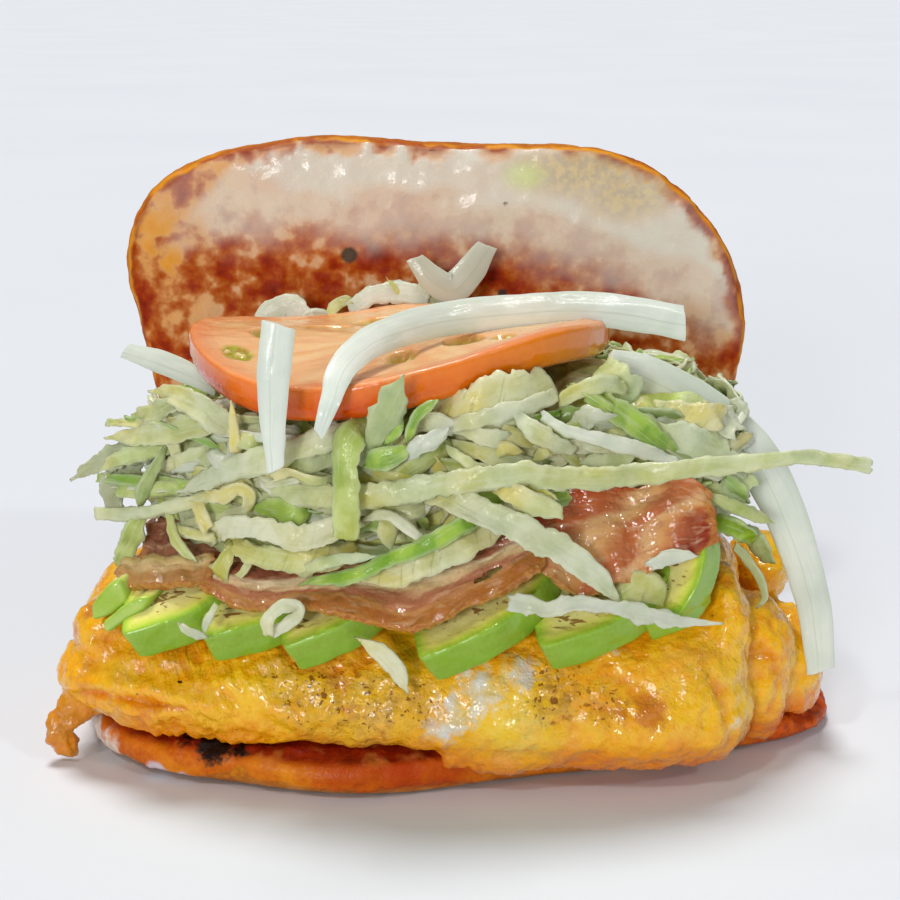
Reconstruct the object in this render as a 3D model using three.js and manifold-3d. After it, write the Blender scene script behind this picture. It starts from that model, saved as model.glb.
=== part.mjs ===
// A breakfast sandwich standing open: a split oval roll, its bottom half under a folded omelette, avocado
// slices, bacon, shredded lettuce, a tomato slice and onion, and its top half upright behind them with the
// cut face forward.
// Millimetres, +Z up. +X runs along the roll and +Y away from the side that shows the filling.
// The origin is the middle of the bottom half's flat underside.

import * as THREE from "three";
import { mergeVertices } from "three/addons/utils/BufferGeometryUtils.js";
import Module from "manifold-3d";

const wasm = await Module();
wasm.setup();

// Driving dimensions
const AIR = 0.35; // gap kept between neighbouring pieces
const FRONT = new THREE.Vector3(0, -0.97, 0.24); // the way the filling faces

const BOTTOM_BUN = {
  halfDepth: 47.5,
  frontRim: 8.5,
  backRim: 16.5,
  crown: 3.5, // rise of the cut face above its rim
  // its outline from above, counterclockwise from the right end
  outline: [
    [77.5, 3], [77, 13], [73, 24], [63, 35], [38, 45.5], [8, 49], [-25, 46.5], [-52, 38], [-72, 25],
    [-83, 6], [-82.5, -12], [-77, -26], [-66, -36.5], [-49, -44], [-28, -48.7], [-10, -47.6], [8, -42],
    [27, -36.5], [49, -30], [62, -24], [70, -20.5], [75.5, -16.5], [80.5, -14.5], [82, -12.5],
    [80, -7.5], [77.5, -2],
  ],
};
const TOP_BUN = {
  thickness: 31,
  middle: [-7, 37.5, 76],
  lean: 4, // degrees back from upright
  // outline of its cut face from in front, counterclockwise from the right side
  outline: [
    [71.7, -1], [71.5, 9], [69.2, 17.5], [65.1, 24.2], [60.1, 30.8], [53.2, 36.7], [46.4, 40.7], [37.2, 43.6],
    [25.8, 44.3], [3, 44.2], [-8.4, 45], [-19.8, 46], [-31.2, 45.9], [-42.7, 44.2], [-52.9, 41.9],
    [-59.8, 39.1], [-65.5, 34.8], [-70.1, 28.9], [-72.3, 18], [-69.4, 4], [-66.5, -8], [-64.5, -20],
    [-57, -37], [-37, -53], [-7, -60], [21, -56], [46, -44], [62, -29], [69, -15],
  ],
};
const OMELETTE = {
  // x, underside, top, front, back of the fold at each station along it
  stations: [
    [-82, 15, 27, -31, 6],
    [-77, 12, 34, -36, 16],
    [-64, 9.5, 37, -42, 25],
    [-45, 9.5, 38, -47.5, 29],
    [-22, 9, 39, -50, 31],
    [1, 5.5, 40, -51.5, 31],
    [20, 4.5, 41, -51.5, 30],
    [40, 4.2, 42.5, -50, 28],
    [51, 4, 44, -46, 22],
    [56, 8, 38, -40, 12],
  ],
  rings: 24,
  around: 16,
  lumps: 0.9, // relief of its skin
  seam: { depth: 1.6, halfWidth: 1.6, height: 10.5 }, // groove along the front where the fold closes
};
const AVOCADO = {
  lean: 28, // of the cut face, degrees from lying flat
  thickness: 8,
  // Lower left end of the cut face, then length, width and rise of the slice in degrees.
  // Upright is what it leans over the others, and thick its own thickness.
  slices: [
    { heel: [-75.5, -34.5, 34], length: 11, width: 8, rise: 46, upright: 15, thick: 4.5 },
    { heel: [-73.5, -38.5, 34], length: 14, width: 9, rise: 33, upright: 5, thick: 4 },
    { heel: [-67.8, -44, 33.8], length: 25, width: 17, rise: 15 },
    { heel: [-52, -47, 34.3], length: 25, width: 17, rise: 12 },
    { heel: [-36.2, -50, 33.3], length: 25, width: 18, rise: 20 },
    { heel: [-10.2, -52, 31.8], length: 30, width: 20, rise: 22 },
    { heel: [12.8, -50.5, 33.6], length: 28, width: 19, rise: 17 },
    { heel: [38, -46, 35.5], length: 21, width: 15, rise: 60, upright: 36, thick: 7 },
    { heel: [33, -46.5, 36.5], length: 14, width: 9, rise: 20, thick: 6 },
  ],
  // outline of a slice: shares of half its length along it and of its width inwards
  outline: [
    [-1, -0.22], [-0.95, -0.4], [-0.75, -0.5], [-0.4, -0.53], [0, -0.49], [0.4, -0.38], [0.75, -0.18],
    [0.97, 0.08], [0.94, 0.26], [0.7, 0.36], [0.35, 0.37], [0, 0.35], [-0.35, 0.37], [-0.7, 0.42],
    [-0.92, 0.36], [-1, 0.1],
  ],
};
const TOMATO = {
  radius: 43,
  depth: 40,
  thickness: 7.6,
  middle: [-15, -10.5, 75.5],
  tilt: 0.6, // degrees, back edge up
  // how the slice bends along X from its middle: where it lies lowest, where it is high, and the rise between
  low: -18,
  high: 38,
  rise: 9.4,
  leftLift: 0.008, // times the square of the distance past the low place
  rightDroop: { from: 26, bend: 0.012 },
};
const BACON_THICKNESS = 2.4;
const ONION_WALL = 2.6;
const LEAF = 1.1; // thickness of a lettuce shred

const LOOKS = {
  bread: { color: 0xb9652a, roughness: 0.8 },
  egg: { color: 0xeda52c, roughness: 0.35 },
  avocado: { color: 0x9cc24c, roughness: 0.45 },
  bacon: { color: 0xb25c3c, roughness: 0.4 },
  lettuce: { color: 0xcdd8a4, roughness: 0.45 },
  tomato: { color: 0xe56a2c, roughness: 0.3 },
  onion: { color: 0xe4ebe0, roughness: 0.35 },
};

const point = (x, y, z) => new THREE.Vector3(x, y, z);
const radians = THREE.MathUtils.degToRad;
const smooth = THREE.MathUtils.smoothstep;

// Smooth bumps between about -1 and 1, each about three sizes across.
function bumps(p, size, seed = 0) {
  const a = p.x / size + seed;
  const b = p.y / size + 1.7 * seed;
  const c = p.z / size - 0.6 * seed;
  return (
    (Math.sin(a + 1.3 * Math.sin(b)) + Math.sin(1.1 * b + 0.9 * c) + Math.sin(c + 1.4 * Math.sin(a + 2))) / 3
  );
}

// Repeatable draws from 0 to 1.
function draws(seed) {
  let state = seed;
  return () => {
    state = (state * 1664525 + 1013904223) % 4294967296;
    return state / 4294967296;
  };
}

// Closed surfaces

// The geometry with its shared vertices merged, each moved by the rule.
function reshaped(geometry, move) {
  geometry.deleteAttribute("normal");
  geometry.deleteAttribute("uv");
  const merged = mergeVertices(geometry, 1e-4);
  const positions = merged.attributes.position;
  const v = new THREE.Vector3();
  for (let i = 0; i < positions.count; i++) {
    v.fromBufferAttribute(positions, i);
    move(v);
    positions.setXYZ(i, v.x, v.y, v.z);
  }
  return merged;
}

// A skin over a row of rings, each with as many points, closed by a point at either end.
function skinned(rings, start, end) {
  const around = rings[0].length;
  const vertices = [start, ...rings.flat(), end];
  const last = vertices.length - 1;
  const faces = [];
  for (let j = 0; j < around; j++) {
    const k = (j + 1) % around;
    faces.push(0, 1 + k, 1 + j);
    for (let i = 0; i < rings.length - 1; i++) {
      const a = 1 + i * around;
      const b = a + around;
      faces.push(a + j, a + k, b + k, a + j, b + k, b + j);
    }
    faces.push(last, last - around + j, last - around + k);
  }
  const geometry = new THREE.BufferGeometry().setFromPoints(vertices);
  geometry.setIndex(faces);
  return geometry;
}

const middleOf = (ring) => ring.reduce((sum, v) => sum.add(v), point(0, 0, 0)).divideScalar(ring.length);

// A section carried along a path, its broad side turned to the facing direction.
// section(t) gives the outline as [across, out] pairs at the share t of the way.
function carried(path, steps, section, facing = FRONT) {
  const curve = new THREE.CatmullRomCurve3(path.map((p) => point(...p)));
  const rings = [];
  for (let i = 0; i <= steps; i++) {
    const t = i / steps;
    const at = curve.getPointAt(t);
    const along = curve.getTangentAt(t);
    const turn = typeof facing === "function" ? facing(t) : facing;
    const across = new THREE.Vector3().crossVectors(along, turn).normalize();
    const out = new THREE.Vector3().crossVectors(across, along);
    rings.push(section(t).map(([a, o]) => at.clone().addScaledVector(across, a).addScaledVector(out, o)));
  }
  return skinned(rings, middleOf(rings[0]), middleOf(rings[rings.length - 1]));
}

// A thin solid over a grid: at(s, t) gives its middle surface and thick(s, t) its thickness.
function sheet(columns, rows, at, thick) {
  const grid = (s, t) => at(THREE.MathUtils.clamp(s, 0, 1), THREE.MathUtils.clamp(t, 0, 1));
  const fine = 0.02;
  const side = (sign) => {
    const points = [];
    for (let i = 0; i <= columns; i++) {
      for (let j = 0; j <= rows; j++) {
        const s = i / columns;
        const t = j / rows;
        const du = grid(s + fine, t).sub(grid(s - fine, t));
        const dv = grid(s, t + fine).sub(grid(s, t - fine));
        const normal = du.cross(dv).normalize();
        points.push(grid(s, t).addScaledVector(normal, (sign * thick(s, t)) / 2));
      }
    }
    return points;
  };
  const count = (columns + 1) * (rows + 1);
  const faces = [];
  const id = (i, j) => i * (rows + 1) + j;
  for (let i = 0; i < columns; i++) {
    for (let j = 0; j < rows; j++) {
      const [a, b, c, d] = [id(i, j), id(i + 1, j), id(i + 1, j + 1), id(i, j + 1)];
      faces.push(a, b, c, a, c, d);
      faces.push(count + a, count + c, count + b, count + a, count + d, count + c);
    }
  }
  const rim = [];
  for (let i = 0; i < columns; i++) rim.push(id(i, 0));
  for (let j = 0; j < rows; j++) rim.push(id(columns, j));
  for (let i = columns; i > 0; i--) rim.push(id(i, rows));
  for (let j = rows; j > 0; j--) rim.push(id(0, j));
  rim.forEach((a, n) => {
    const b = rim[(n + 1) % rim.length];
    faces.push(a, count + b, b, a, count + a, count + b);
  });
  const geometry = new THREE.BufferGeometry().setFromPoints([...side(1), ...side(-1)]);
  geometry.setIndex(faces);
  return geometry;
}

// Joining and cutting

function solidOf(geometry) {
  const vertProperties = new Float32Array(geometry.attributes.position.array);
  const triVerts = new Uint32Array(geometry.index.array);
  const solid = new wasm.Manifold(new wasm.Mesh({ numProp: 3, vertProperties, triVerts }));
  if (solid.volume() > 0) return solid;
  for (let i = 0; i < triVerts.length; i += 3) {
    [triVerts[i], triVerts[i + 1]] = [triVerts[i + 1], triVerts[i]];
  }
  return new wasm.Manifold(new wasm.Mesh({ numProp: 3, vertProperties, triVerts }));
}

function geometryOf(solid) {
  const mesh = solid.getMesh();
  const geometry = new THREE.BufferGeometry();
  geometry.setAttribute("position", new THREE.BufferAttribute(mesh.vertProperties, 3));
  geometry.setIndex(new THREE.BufferAttribute(mesh.triVerts, 1));
  return geometry;
}

// The same solid with its surface moved out by the gap that neighbours keep.
function grown(geometry) {
  const outward = geometryOf(solidOf(geometry));
  outward.computeVertexNormals();
  const { position, normal } = outward.attributes;
  for (let i = 0; i < position.count; i++) {
    position.setXYZ(
      i,
      position.getX(i) + AIR * normal.getX(i),
      position.getY(i) + AIR * normal.getY(i),
      position.getZ(i) + AIR * normal.getZ(i),
    );
  }
  outward.deleteAttribute("normal");
  return solidOf(outward);
}

const joined = (solids) => solids.reduce((a, b) => a.add(b));

// The largest body of a solid: scraps that a cut leaves loose are dropped, and sealed hollows filled.
function largestBody(solid) {
  const bodies = solid.decompose();
  return bodies.reduce((a, b) => (b.volume() > a.volume() ? b : a));
}

const sandwich = new THREE.Group();
const laid = []; // each piece laid so far, grown by the gap, with its box

// Adds a piece made of fused forms, cut clear of all that was laid before it.
function lay(name, look, forms) {
  const near = (solid) => {
    const box = solid.boundingBox();
    return laid.filter(({ box: other }) =>
      [0, 1, 2].every((k) => box.min[k] <= other.max[k] && box.max[k] >= other.min[k]),
    );
  };
  let solid = joined(forms.map(solidOf));
  for (const piece of near(solid)) solid = solid.subtract(piece.solid);
  const mesh = new THREE.Mesh(geometryOf(largestBody(solid)), new THREE.MeshStandardMaterial(LOOKS[look]));
  mesh.name = name;
  sandwich.add(mesh);
  const reach = joined(forms.map(grown));
  laid.push({ solid: reach, box: reach.boundingBox() });
}

// The roll

// Distance from the middle to a closed outline, by direction.
function reachOf(outline) {
  const curve = new THREE.CatmullRomCurve3(outline.map(([a, b]) => point(a, b, 0)), true);
  const spots = curve.getPoints(outline.length * 12).map((p) => [Math.atan2(p.y, p.x), Math.hypot(p.x, p.y)]);
  return (angle) => {
    const off = ([bearing]) => Math.abs(Math.atan2(Math.sin(angle - bearing), Math.cos(angle - bearing)));
    return spots.reduce((a, b) => (off(b) < off(a) ? b : a))[1];
  };
}

function bottomBun() {
  const { halfDepth, frontRim, backRim, crown } = BOTTOM_BUN;
  // share of the way out, share of the height of the cut face
  const outline = [
    [0, 1], [0.35, 1], [0.62, 1], [0.84, 1], [0.95, 0.97], [0.985, 0.84], [1, 0.6], [0.99, 0.34],
    [0.965, 0.12], [0.93, 0], [0.6, 0], [0, 0],
  ];
  const turnedUp = new THREE.LatheGeometry(outline.map(([r, h]) => new THREE.Vector2(r, h)), 38);
  const reach = reachOf(BOTTOM_BUN.outline);
  return reshaped(turnedUp.rotateX(Math.PI / 2), (v) => {
    const share = Math.hypot(v.x, v.y);
    const height = v.z;
    const angle = Math.atan2(v.y, v.x);
    v.set(Math.cos(angle), Math.sin(angle), 0).multiplyScalar(reach(angle) * share);
    const corner = smooth(v.x, 60, 80) * smooth(-v.y, -16, 6); // thin where it was pressed flat
    const back = (v.y + halfDepth) / (2 * halfDepth);
    const face = frontRim + (backRim - frontRim) * back + crown * (1 - share ** 2) * (1 - 0.5 * back);
    const lumps = height > 0.5 ? 0.5 * bumps(v, 7, 2) : 0;
    v.z = height * (face * (1 - 0.7 * corner) + lumps * (1 - corner));
    const side = share > 0.9 && height > 0 ? 0.9 * bumps(v, 8, 5) : 0;
    v.x += side * Math.cos(angle);
    v.y += side * Math.sin(angle);
  });
}

function topBun() {
  const { thickness, middle, lean } = TOP_BUN;
  // share of the way out, depth behind the cut face as a share of the thickness
  const outline = [
    [0, 0], [0.35, 0], [0.66, 0], [0.88, 0], [0.965, 0.01], [0.99, 0.06], [1, 0.17], [0.985, 0.33],
    [0.93, 0.52], [0.82, 0.7], [0.64, 0.86], [0.38, 0.96], [0, 1],
  ];
  const dome = new THREE.LatheGeometry(outline.map(([r, d]) => new THREE.Vector2(r, d)), 42);
  const reach = reachOf(TOP_BUN.outline);
  return reshaped(dome.rotateX(Math.PI / 2), (v) => {
    const share = Math.hypot(v.x, v.y);
    const depth = v.z;
    const angle = Math.atan2(v.y, v.x);
    v.set(Math.cos(angle), 0, Math.sin(angle)).multiplyScalar(reach(angle) * share);
    v.y = depth * thickness;
    const skin = depth > 0.02 ? 0.7 : 0.35;
    v.y += skin * bumps(v, 11, 3);
    v.applyAxisAngle(point(1, 0, 0), radians(-lean));
    v.add(point(...middle));
  });
}

// The filling

// One slice across the fold: the omelette's outline in the plane of X, from its low front round to the back.
function omeletteRing(x, low, top, front, back) {
  const middle = (front + back) / 2;
  const tall = top - low;
  const outline = new THREE.CatmullRomCurve3(
    [
      point(x, front + 5, low),
      point(x, front + 0.5, low + 0.18 * tall),
      point(x, front + 1.5, low + 0.45 * tall),
      point(x, front + 9, low + 0.72 * tall),
      point(x, front + 19, low + 0.92 * tall),
      point(x, middle, top),
      point(x, back - 8, top - 0.08 * tall),
      point(x, back, low + 0.6 * tall),
      point(x, back - 5, low + 0.25 * tall),
      point(x, middle, low + 1),
    ],
    true,
  );
  return outline.getSpacedPoints(OMELETTE.around).slice(0, OMELETTE.around);
}

function foldedEgg() {
  const { stations } = OMELETTE;
  const along = new THREE.CatmullRomCurve3(stations.map(([x, low, top]) => point(x, low, top)));
  const deep = new THREE.CatmullRomCurve3(stations.map(([x, , , front, back]) => point(x, front, back)));
  const { depth: seamDepth, halfWidth: seamWidth, height: seamHeight } = OMELETTE.seam;
  const rings = [];
  for (let i = 0; i <= OMELETTE.rings; i++) {
    const t = i / OMELETTE.rings;
    const { x, y: low, z: top } = along.getPoint(t);
    const { y: front, z: back } = deep.getPoint(t);
    const ring = omeletteRing(x, low, top, front, back);
    const heart = middleOf(ring);
    ring.forEach((v) => {
      const out = v.clone().sub(heart).setX(0).normalize();
      const relief = OMELETTE.lumps * (bumps(v, 5.5, 1) + 0.6 * bumps(v, 3, 4));
      const groove = -seamDepth * Math.exp(-(((v.z - seamHeight) / seamWidth) ** 2));
      const seam = groove * smooth(v.x, -35, -15) * smooth(-v.y, 30, 44);
      v.addScaledVector(out, relief + seam);
    });
    rings.push(ring);
  }
  const cap = (ring, reach) => middleOf(ring).add(point(reach, 0, 0));
  return skinned(rings, cap(rings[0], -2), cap(rings[rings.length - 1], 2));
}

// A soft lump: a sphere stretched to its half sizes and roughened. A roundness under 1 makes it boxier.
function lump(middle, halfSizes, seed, columns = 10, rows = 7, roundness = 1) {
  return reshaped(new THREE.SphereGeometry(1, columns, rows), (v) => {
    const rough = 1 + 0.09 * bumps(v.clone().multiplyScalar(10), 4, seed);
    v.set(...v.toArray().map((c) => Math.sign(c) * Math.abs(c) ** roundness));
    v.multiply(point(...halfSizes)).multiplyScalar(rough);
    v.add(point(...middle));
  });
}

function omelette() {
  const folds = [
    lump([51, -30, 24], [6.5, 12, 19.5], 1), // the end of the outer fold
    lump([59.5, -20, 18], [8.5, 13, 17], 2),
    lump([68, -9, 14.5], [8.5, 14, 13.5], 3),
    lump([64, 6, 31], [7.5, 12, 7.5], 4), // curl above the back fold
    lump([-74, -25, 28], [7, 11, 6.5], 5),
    lump([-76.5, -25, 19], [8, 10, 8], 6),
    lump([-62, -34, 16], [9, 9, 6], 7),
  ];
  // a flap of egg that hangs over the left end of the roll
  const scrap = carried(
    [
      [-70, -20, 14.5], [-77, -26.5, 13], [-82.5, -28.5, 11], [-84.5, -29, 7], [-83, -29, 3.8],
      [-81.5, -29, 1.8],
    ],
    10,
    (t) => roundSection(5 - 2 * t, 2.3 - 0.4 * t, 8),
  );
  const hanging = sheet(
    8,
    3,
    (s, t) => {
      const drop = (2.5 + 4.5 * Math.max(0, 1 - Math.abs(2 * s - 1.15)) ** 1.4) * t;
      return point(-20 + 38 * s, -49.2 - 0.8 * Math.sin(Math.PI * s), 10 - 3.5 * s - drop);
    },
    () => 1.6,
  );
  return [foldedEgg(), ...folds, scrap, hanging];
}

// A rounded outline of the given half width and half thickness.
function roundSection(halfWidth, halfThick, sides) {
  return Array.from({ length: sides }, (_, k) => {
    const angle = (2 * Math.PI * k) / sides;
    return [halfWidth * Math.cos(angle), halfThick * Math.sin(angle)];
  });
}

// A slice of a halved avocado: round rind edge low and in front, hollow of the stone above, flat cut faces.
function avocadoSlice({ heel, length, width, rise, upright = 0, thick = AVOCADO.thickness }) {
  const lean = radians(AVOCADO.lean + upright);
  const along = point(Math.cos(radians(rise)), 0, Math.sin(radians(rise)));
  const inward = point(0, Math.cos(lean), Math.sin(lean));
  inward.addScaledVector(along, -inward.dot(along)).normalize();
  const faceOut = new THREE.Vector3().crossVectors(along, inward);
  const heart = point(...heel).addScaledVector(along, length / 2).addScaledVector(inward, 0.45 * width);
  // place through the thickness, size of the outline there
  const levels = [
    [-1, 0.88], [-0.9, 0.95], [-0.12, 1], [0, 0.97],
  ];
  const rings = levels.map(([level, size]) =>
    AVOCADO.outline.map(([a, b]) =>
      heart
        .clone()
        .addScaledVector(along, (a * length * size) / 2)
        .addScaledVector(inward, b * width * size)
        .addScaledVector(faceOut, level * thick),
    ),
  );
  return skinned(rings, middleOf(rings[0]), middleOf(rings[rings.length - 1]));
}

// A rasher over the slope: it hangs down to the low edge, turns at the brow and runs back under the lettuce.
function rasher({ low, brow, back, ripple, columns, rows = 4 }) {
  const edges = [low, brow, back].map((edge) => new THREE.CatmullRomCurve3(edge.map((p) => point(...p))));
  const at = (s, t) => {
    const across = new THREE.CatmullRomCurve3(edges.map((edge) => edge.getPointAt(s)));
    const wave = ripple * Math.sin(2 * Math.PI * (3.2 * s + 0.4 * t)) * (1 - 0.6 * t);
    return across.getPoint(t).add(point(0, -0.7 * wave, 0.6 * wave));
  };
  return sheet(columns, rows, at, (s, t) => BACON_THICKNESS * (0.8 + 0.3 * Math.sin(3 + 9 * s + 4 * t)));
}

const RASHERS = [
  {
    low: [[-66, -30, 44], [-60, -35, 43], [-52, -37, 45], [-45, -38, 47]],
    brow: [[-64, -26, 50], [-58, -28, 52.5], [-52, -30, 53.5], [-45, -33, 53.5]],
    back: [[-60, -14, 42], [-54, -14, 43], [-48, -16, 44], [-42, -18, 45]],
    ripple: 0.8,
    columns: 9,
  },
  {
    low: [[-70.5, -32, 41], [-66, -36, 39.5], [-58, -40, 41], [-50, -42, 43.5]],
    brow: [[-69, -29, 43], [-64, -32, 44.5], [-58, -35, 45.5], [-50, -38, 46.5]],
    back: [[-62, -22, 41], [-58, -22, 43], [-54, -24, 44], [-48, -26, 45]],
    ripple: 0.6,
    columns: 9,
  },
  {
    low: [
      [-52, -43, 42], [-45, -46, 39], [-33, -50, 40], [-19, -53, 38.5], [-9, -54, 37.5], [0, -53, 41.5],
      [13, -51, 47.5],
    ],
    brow: [
      [-50, -37, 45], [-41, -40, 46.5], [-27, -43, 46.5], [-14, -44.5, 46.5], [-5, -45, 49], [3, -45, 52],
      [16, -43, 55],
    ],
    back: [
      [-46, -24, 43], [-38, -23, 43.5], [-26, -23, 43.5], [-14, -23, 44], [-4, -24, 45], [4, -26, 46],
      [16, -28, 47.5],
    ],
    ripple: 1.1,
    columns: 20,
  },
  {
    low: [[12, -48, 47], [19, -50, 43.5], [27, -50, 44], [36, -47.5, 47.5], [43, -45, 50], [47.5, -42, 51]],
    brow: [[11, -40, 61], [18, -40, 63.5], [26, -40, 62], [33, -39.5, 60.5], [40, -39, 63], [46, -38, 59]],
    back: [[14, -30, 47], [22, -28, 47], [32, -27, 47.5], [40, -27, 48], [45, -28, 48], [47, -29, 48]],
    ripple: 0.9,
    columns: 12,
    rows: 5,
  },
];

function tomatoSlice() {
  const { radius, depth, thickness, middle, tilt, low, high, rise, leftLift, rightDroop } = TOMATO;
  const outline = [
    [0, 1], [0.9, 1], [0.965, 0.93], [0.995, 0.68], [1, 0.4], [0.985, 0.12], [0.95, 0], [0, 0],
  ];
  const disc = new THREE.LatheGeometry(outline.map(([r, h]) => new THREE.Vector2(r, h)), 36);
  return reshaped(disc.rotateX(Math.PI / 2), (v) => {
    const angle = Math.atan2(v.y, v.x);
    const lobes = 1 + 0.018 * Math.sin(3 * angle + 1) + 0.012 * Math.sin(5 * angle);
    v.set(v.x * radius * lobes, v.y * depth * lobes, v.z * thickness);
    v.z += rise * smooth(v.x, low, high) + leftLift * Math.max(0, low - v.x) ** 2;
    v.z -= rightDroop.bend * Math.max(0, v.x - rightDroop.from) ** 2;
    v.applyAxisAngle(point(1, 0, 0), radians(tilt));
    v.add(point(...middle));
  });
}

// A strip of onion: a layer cut across, slightly cupped, blunt at its thick end.
function onionStrip({ path, widths, steps, facing }) {
  const width = new THREE.SplineCurve(widths.map((w, i) => new THREE.Vector2(i, w)));
  return carried(
    path,
    steps,
    (t) => {
      const half = width.getPoint(t).y / 2;
      return roundSection(half, ONION_WALL / 2, 8).map(([a, o]) => [a, o - 0.8 * (a / half) ** 2]);
    },
    facing,
  );
}

const ONIONS = [
  {
    path: [[-35, -53.5, 95.5], [-36, -55, 86], [-36.2, -55.5, 77], [-36, -55, 69]],
    widths: [6, 6, 5, 3.2],
    steps: 5,
  },
  {
    path: [
      [-28, -55.5, 75.5], [-26, -54.5, 80.5], [-22, -47, 86], [-15, -38, 89.2], [-5, -29, 91.2],
      [9, -23, 92.3], [26, -17, 92], [43.5, -13, 88.5],
    ],
    widths: [2.4, 5.6, 6.4, 6.6, 6.8, 7, 7, 7],
    steps: 16,
  },
  {
    path: [
      [27, -24, 82], [35, -22, 79.5], [46, -19, 73], [58, -17, 62], [66, -16, 47], [71, -18, 32],
      [72.5, -20, 22], [73, -21, 16.5],
    ],
    widths: [7, 8.4, 9.4, 9.6, 9, 8, 7.2, 6],
    steps: 18,
  },
  {
    path: [[-73, 6, 79], [-66, 1, 78], [-59, -4, 76.5], [-52, -8, 74]],
    widths: [4, 5, 5, 4],
    steps: 5,
  },
  {
    path: [[-12, 30.5, 95.5], [-8, 29.5, 91], [-3.5, 29.5, 88.8], [0.5, 31, 92.5], [4.5, 32.5, 98]],
    widths: [5, 6.5, 7, 6, 3.5],
    steps: 8,
  },
];

// The lettuce

// The heap under the shreds.
function lettuceHeart() {
  return [
    lump([-15, -9, 58], [50, 37, 17], 8, 16, 8, 0.75),
    lump([28, -9, 60], [28, 29, 20], 9, 12, 8, 0.8),
    lump([-6, 5, 48], [56, 21, 10], 11, 12, 6, 0.8), // lying on the omelette behind the bacon
  ];
}

// A shred: a flat strip that follows its path, turning over as it goes.
function shred({ path, width, twist = 0, steps = path.length }) {
  return carried(
    path,
    steps,
    (t) => {
      const taper = Math.min(1, 0.35 + 3 * t, 0.35 + 3 * (1 - t));
      const half = (width / 2) * taper * (1 + 0.12 * Math.sin(17 * t));
      return flatSection(half, width > 8 ? 0.3 : 0);
    },
    (t) => FRONT.clone().applyAxisAngle(point(1, 0, 0), twist * (t - 0.5)),
  );
}

// The flat outline of a shred, cupped along its middle where it is wide.
function flatSection(half, cup) {
  const edge = LEAF / 2;
  if (cup === 0) return [[-half, -edge], [half, -edge], [half, edge], [-half, edge]];
  return [[-half, -edge], [0, -edge - cup], [half, -edge], [half, edge], [0, edge - cup], [-half, edge]];
}

// The shreds that show in front, each from where it leaves the heap.
const FRONT_SHREDS = [
  {
    path: [
      [-24, -42, 61], [-11, -49, 65], [16, -50, 66], [31, -48, 67.5], [54, -45, 68], [77, -42, 67],
    ],
    width: 6.5,
  },
  { path: [[-75, -33, 55], [-56, -42, 59], [-44, -45, 66], [-26, -46, 72], [-14, -40, 74]], width: 6 },
  {
    path: [
      [-8, -43, 66], [5, -50, 59], [16, -53, 51.5], [26, -54, 46], [35, -53, 43], [47, -50, 39],
    ],
    width: 9,
  },
  { path: [[5, -53, 45], [16, -56, 44.5], [28, -55, 43.5], [38, -52, 42]], width: 4.5 },
  { path: [[-21, -43, 75], [-23, -50, 70], [-24, -51, 62], [-24, -49, 54]], width: 6.5 },
  { path: [[-12, -52, 86], [-15.5, -53, 79], [-18, -46, 69]], width: 7.5, twist: 0.8 },
  { path: [[-17, -44, 70], [-11, -52, 75], [-6, -53, 81]], width: 3.5 },
  { path: [[-81, -22, 59], [-70, -25, 64], [-60, -25, 69], [-48, -20, 70]], width: 8, twist: 0.7 },
  { path: [[-72, -30, 52], [-62, -35, 57], [-53, -37, 63], [-45, -32, 67]], width: 8 },
  { path: [[-70, -17, 67], [-63, -18, 70], [-48, -14, 70]], width: 5, twist: -0.8 },
  { path: [[-72, -33, 45], [-66, -35, 56], [-56, -28, 64]], width: 5.5 },
  { path: [[-54, -38, 63], [-52, -45, 55], [-49, -46, 49]], width: 5.5 },
  { path: [[-45, -40, 62], [-42, -49, 54], [-32, -51, 50.5], [-20, -51, 51], [-6, -44, 56]], width: 5 },
  { path: [[-52, -40, 63], [-40, -48, 59], [-28, -50, 56], [-15, -49, 55.5], [-4, -43, 57]], width: 5.5 },
  { path: [[-33, -50, 47.5], [-19, -53, 49], [-8, -52, 52], [5, -44, 58]], width: 7 },
  { path: [[-44, -40, 58], [-35, -46, 58], [-27, -40, 58]], width: 6 },
  { path: [[16, -26, 72], [26, -38, 74], [34, -40, 69], [42, -34, 62]], width: 9 },
  { path: [[22, -22, 72], [38, -30, 70], [50, -30, 64], [58, -22, 57]], width: 10, twist: 0.5 },
  { path: [[28, -34, 66], [44, -36, 61], [56, -24, 55]], width: 8 },
  { path: [[40, -24, 60], [50, -28, 54], [63, -22, 46]], width: 9, twist: 0.6 },
  { path: [[45, -20, 54], [52, -29, 46], [57, -31, 37], [60, -30, 29]], width: 3.5 },
  { path: [[-20, -43, 70], [-2, -50, 71], [12, -49, 74], [20, -38, 72]], width: 8, twist: -0.6 },
  { path: [[-40, -40, 69], [-28, -48, 66], [-14, -49, 61], [-2, -44, 58]], width: 7, twist: 0.5 },
];

// Shreds laid round the sides and back of the heap, spread evenly, each a short arc over its surface.
function looseShreds() {
  const draw = draws(41);
  const count = 9;
  return Array.from({ length: count }, (_, n) => {
    const bearing = radians(-12 + (205 * n) / (count - 1) + 8 * (draw() - 0.5));
    const rise = 50 + 20 * draw();
    const slope = 0.5 * (draw() - 0.5);
    const path = [-1, 0, 1].map((step) => {
      const angle = bearing + 0.3 * step;
      const out = step === 0 ? 1.06 : 1;
      return [57 * out * Math.cos(angle) - 5, 37 * out * Math.sin(angle) - 8, rise + 14 * slope * step];
    });
    const outward = point(Math.cos(bearing), Math.sin(bearing), 0.3);
    const half = 2.4 + 1.6 * draw();
    const taper = (t) => Math.min(1, 0.4 + 3 * t, 0.4 + 3 * (1 - t));
    return carried(path, 4, (t) => flatSection(half * taper(t), 0), outward);
  });
}

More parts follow.
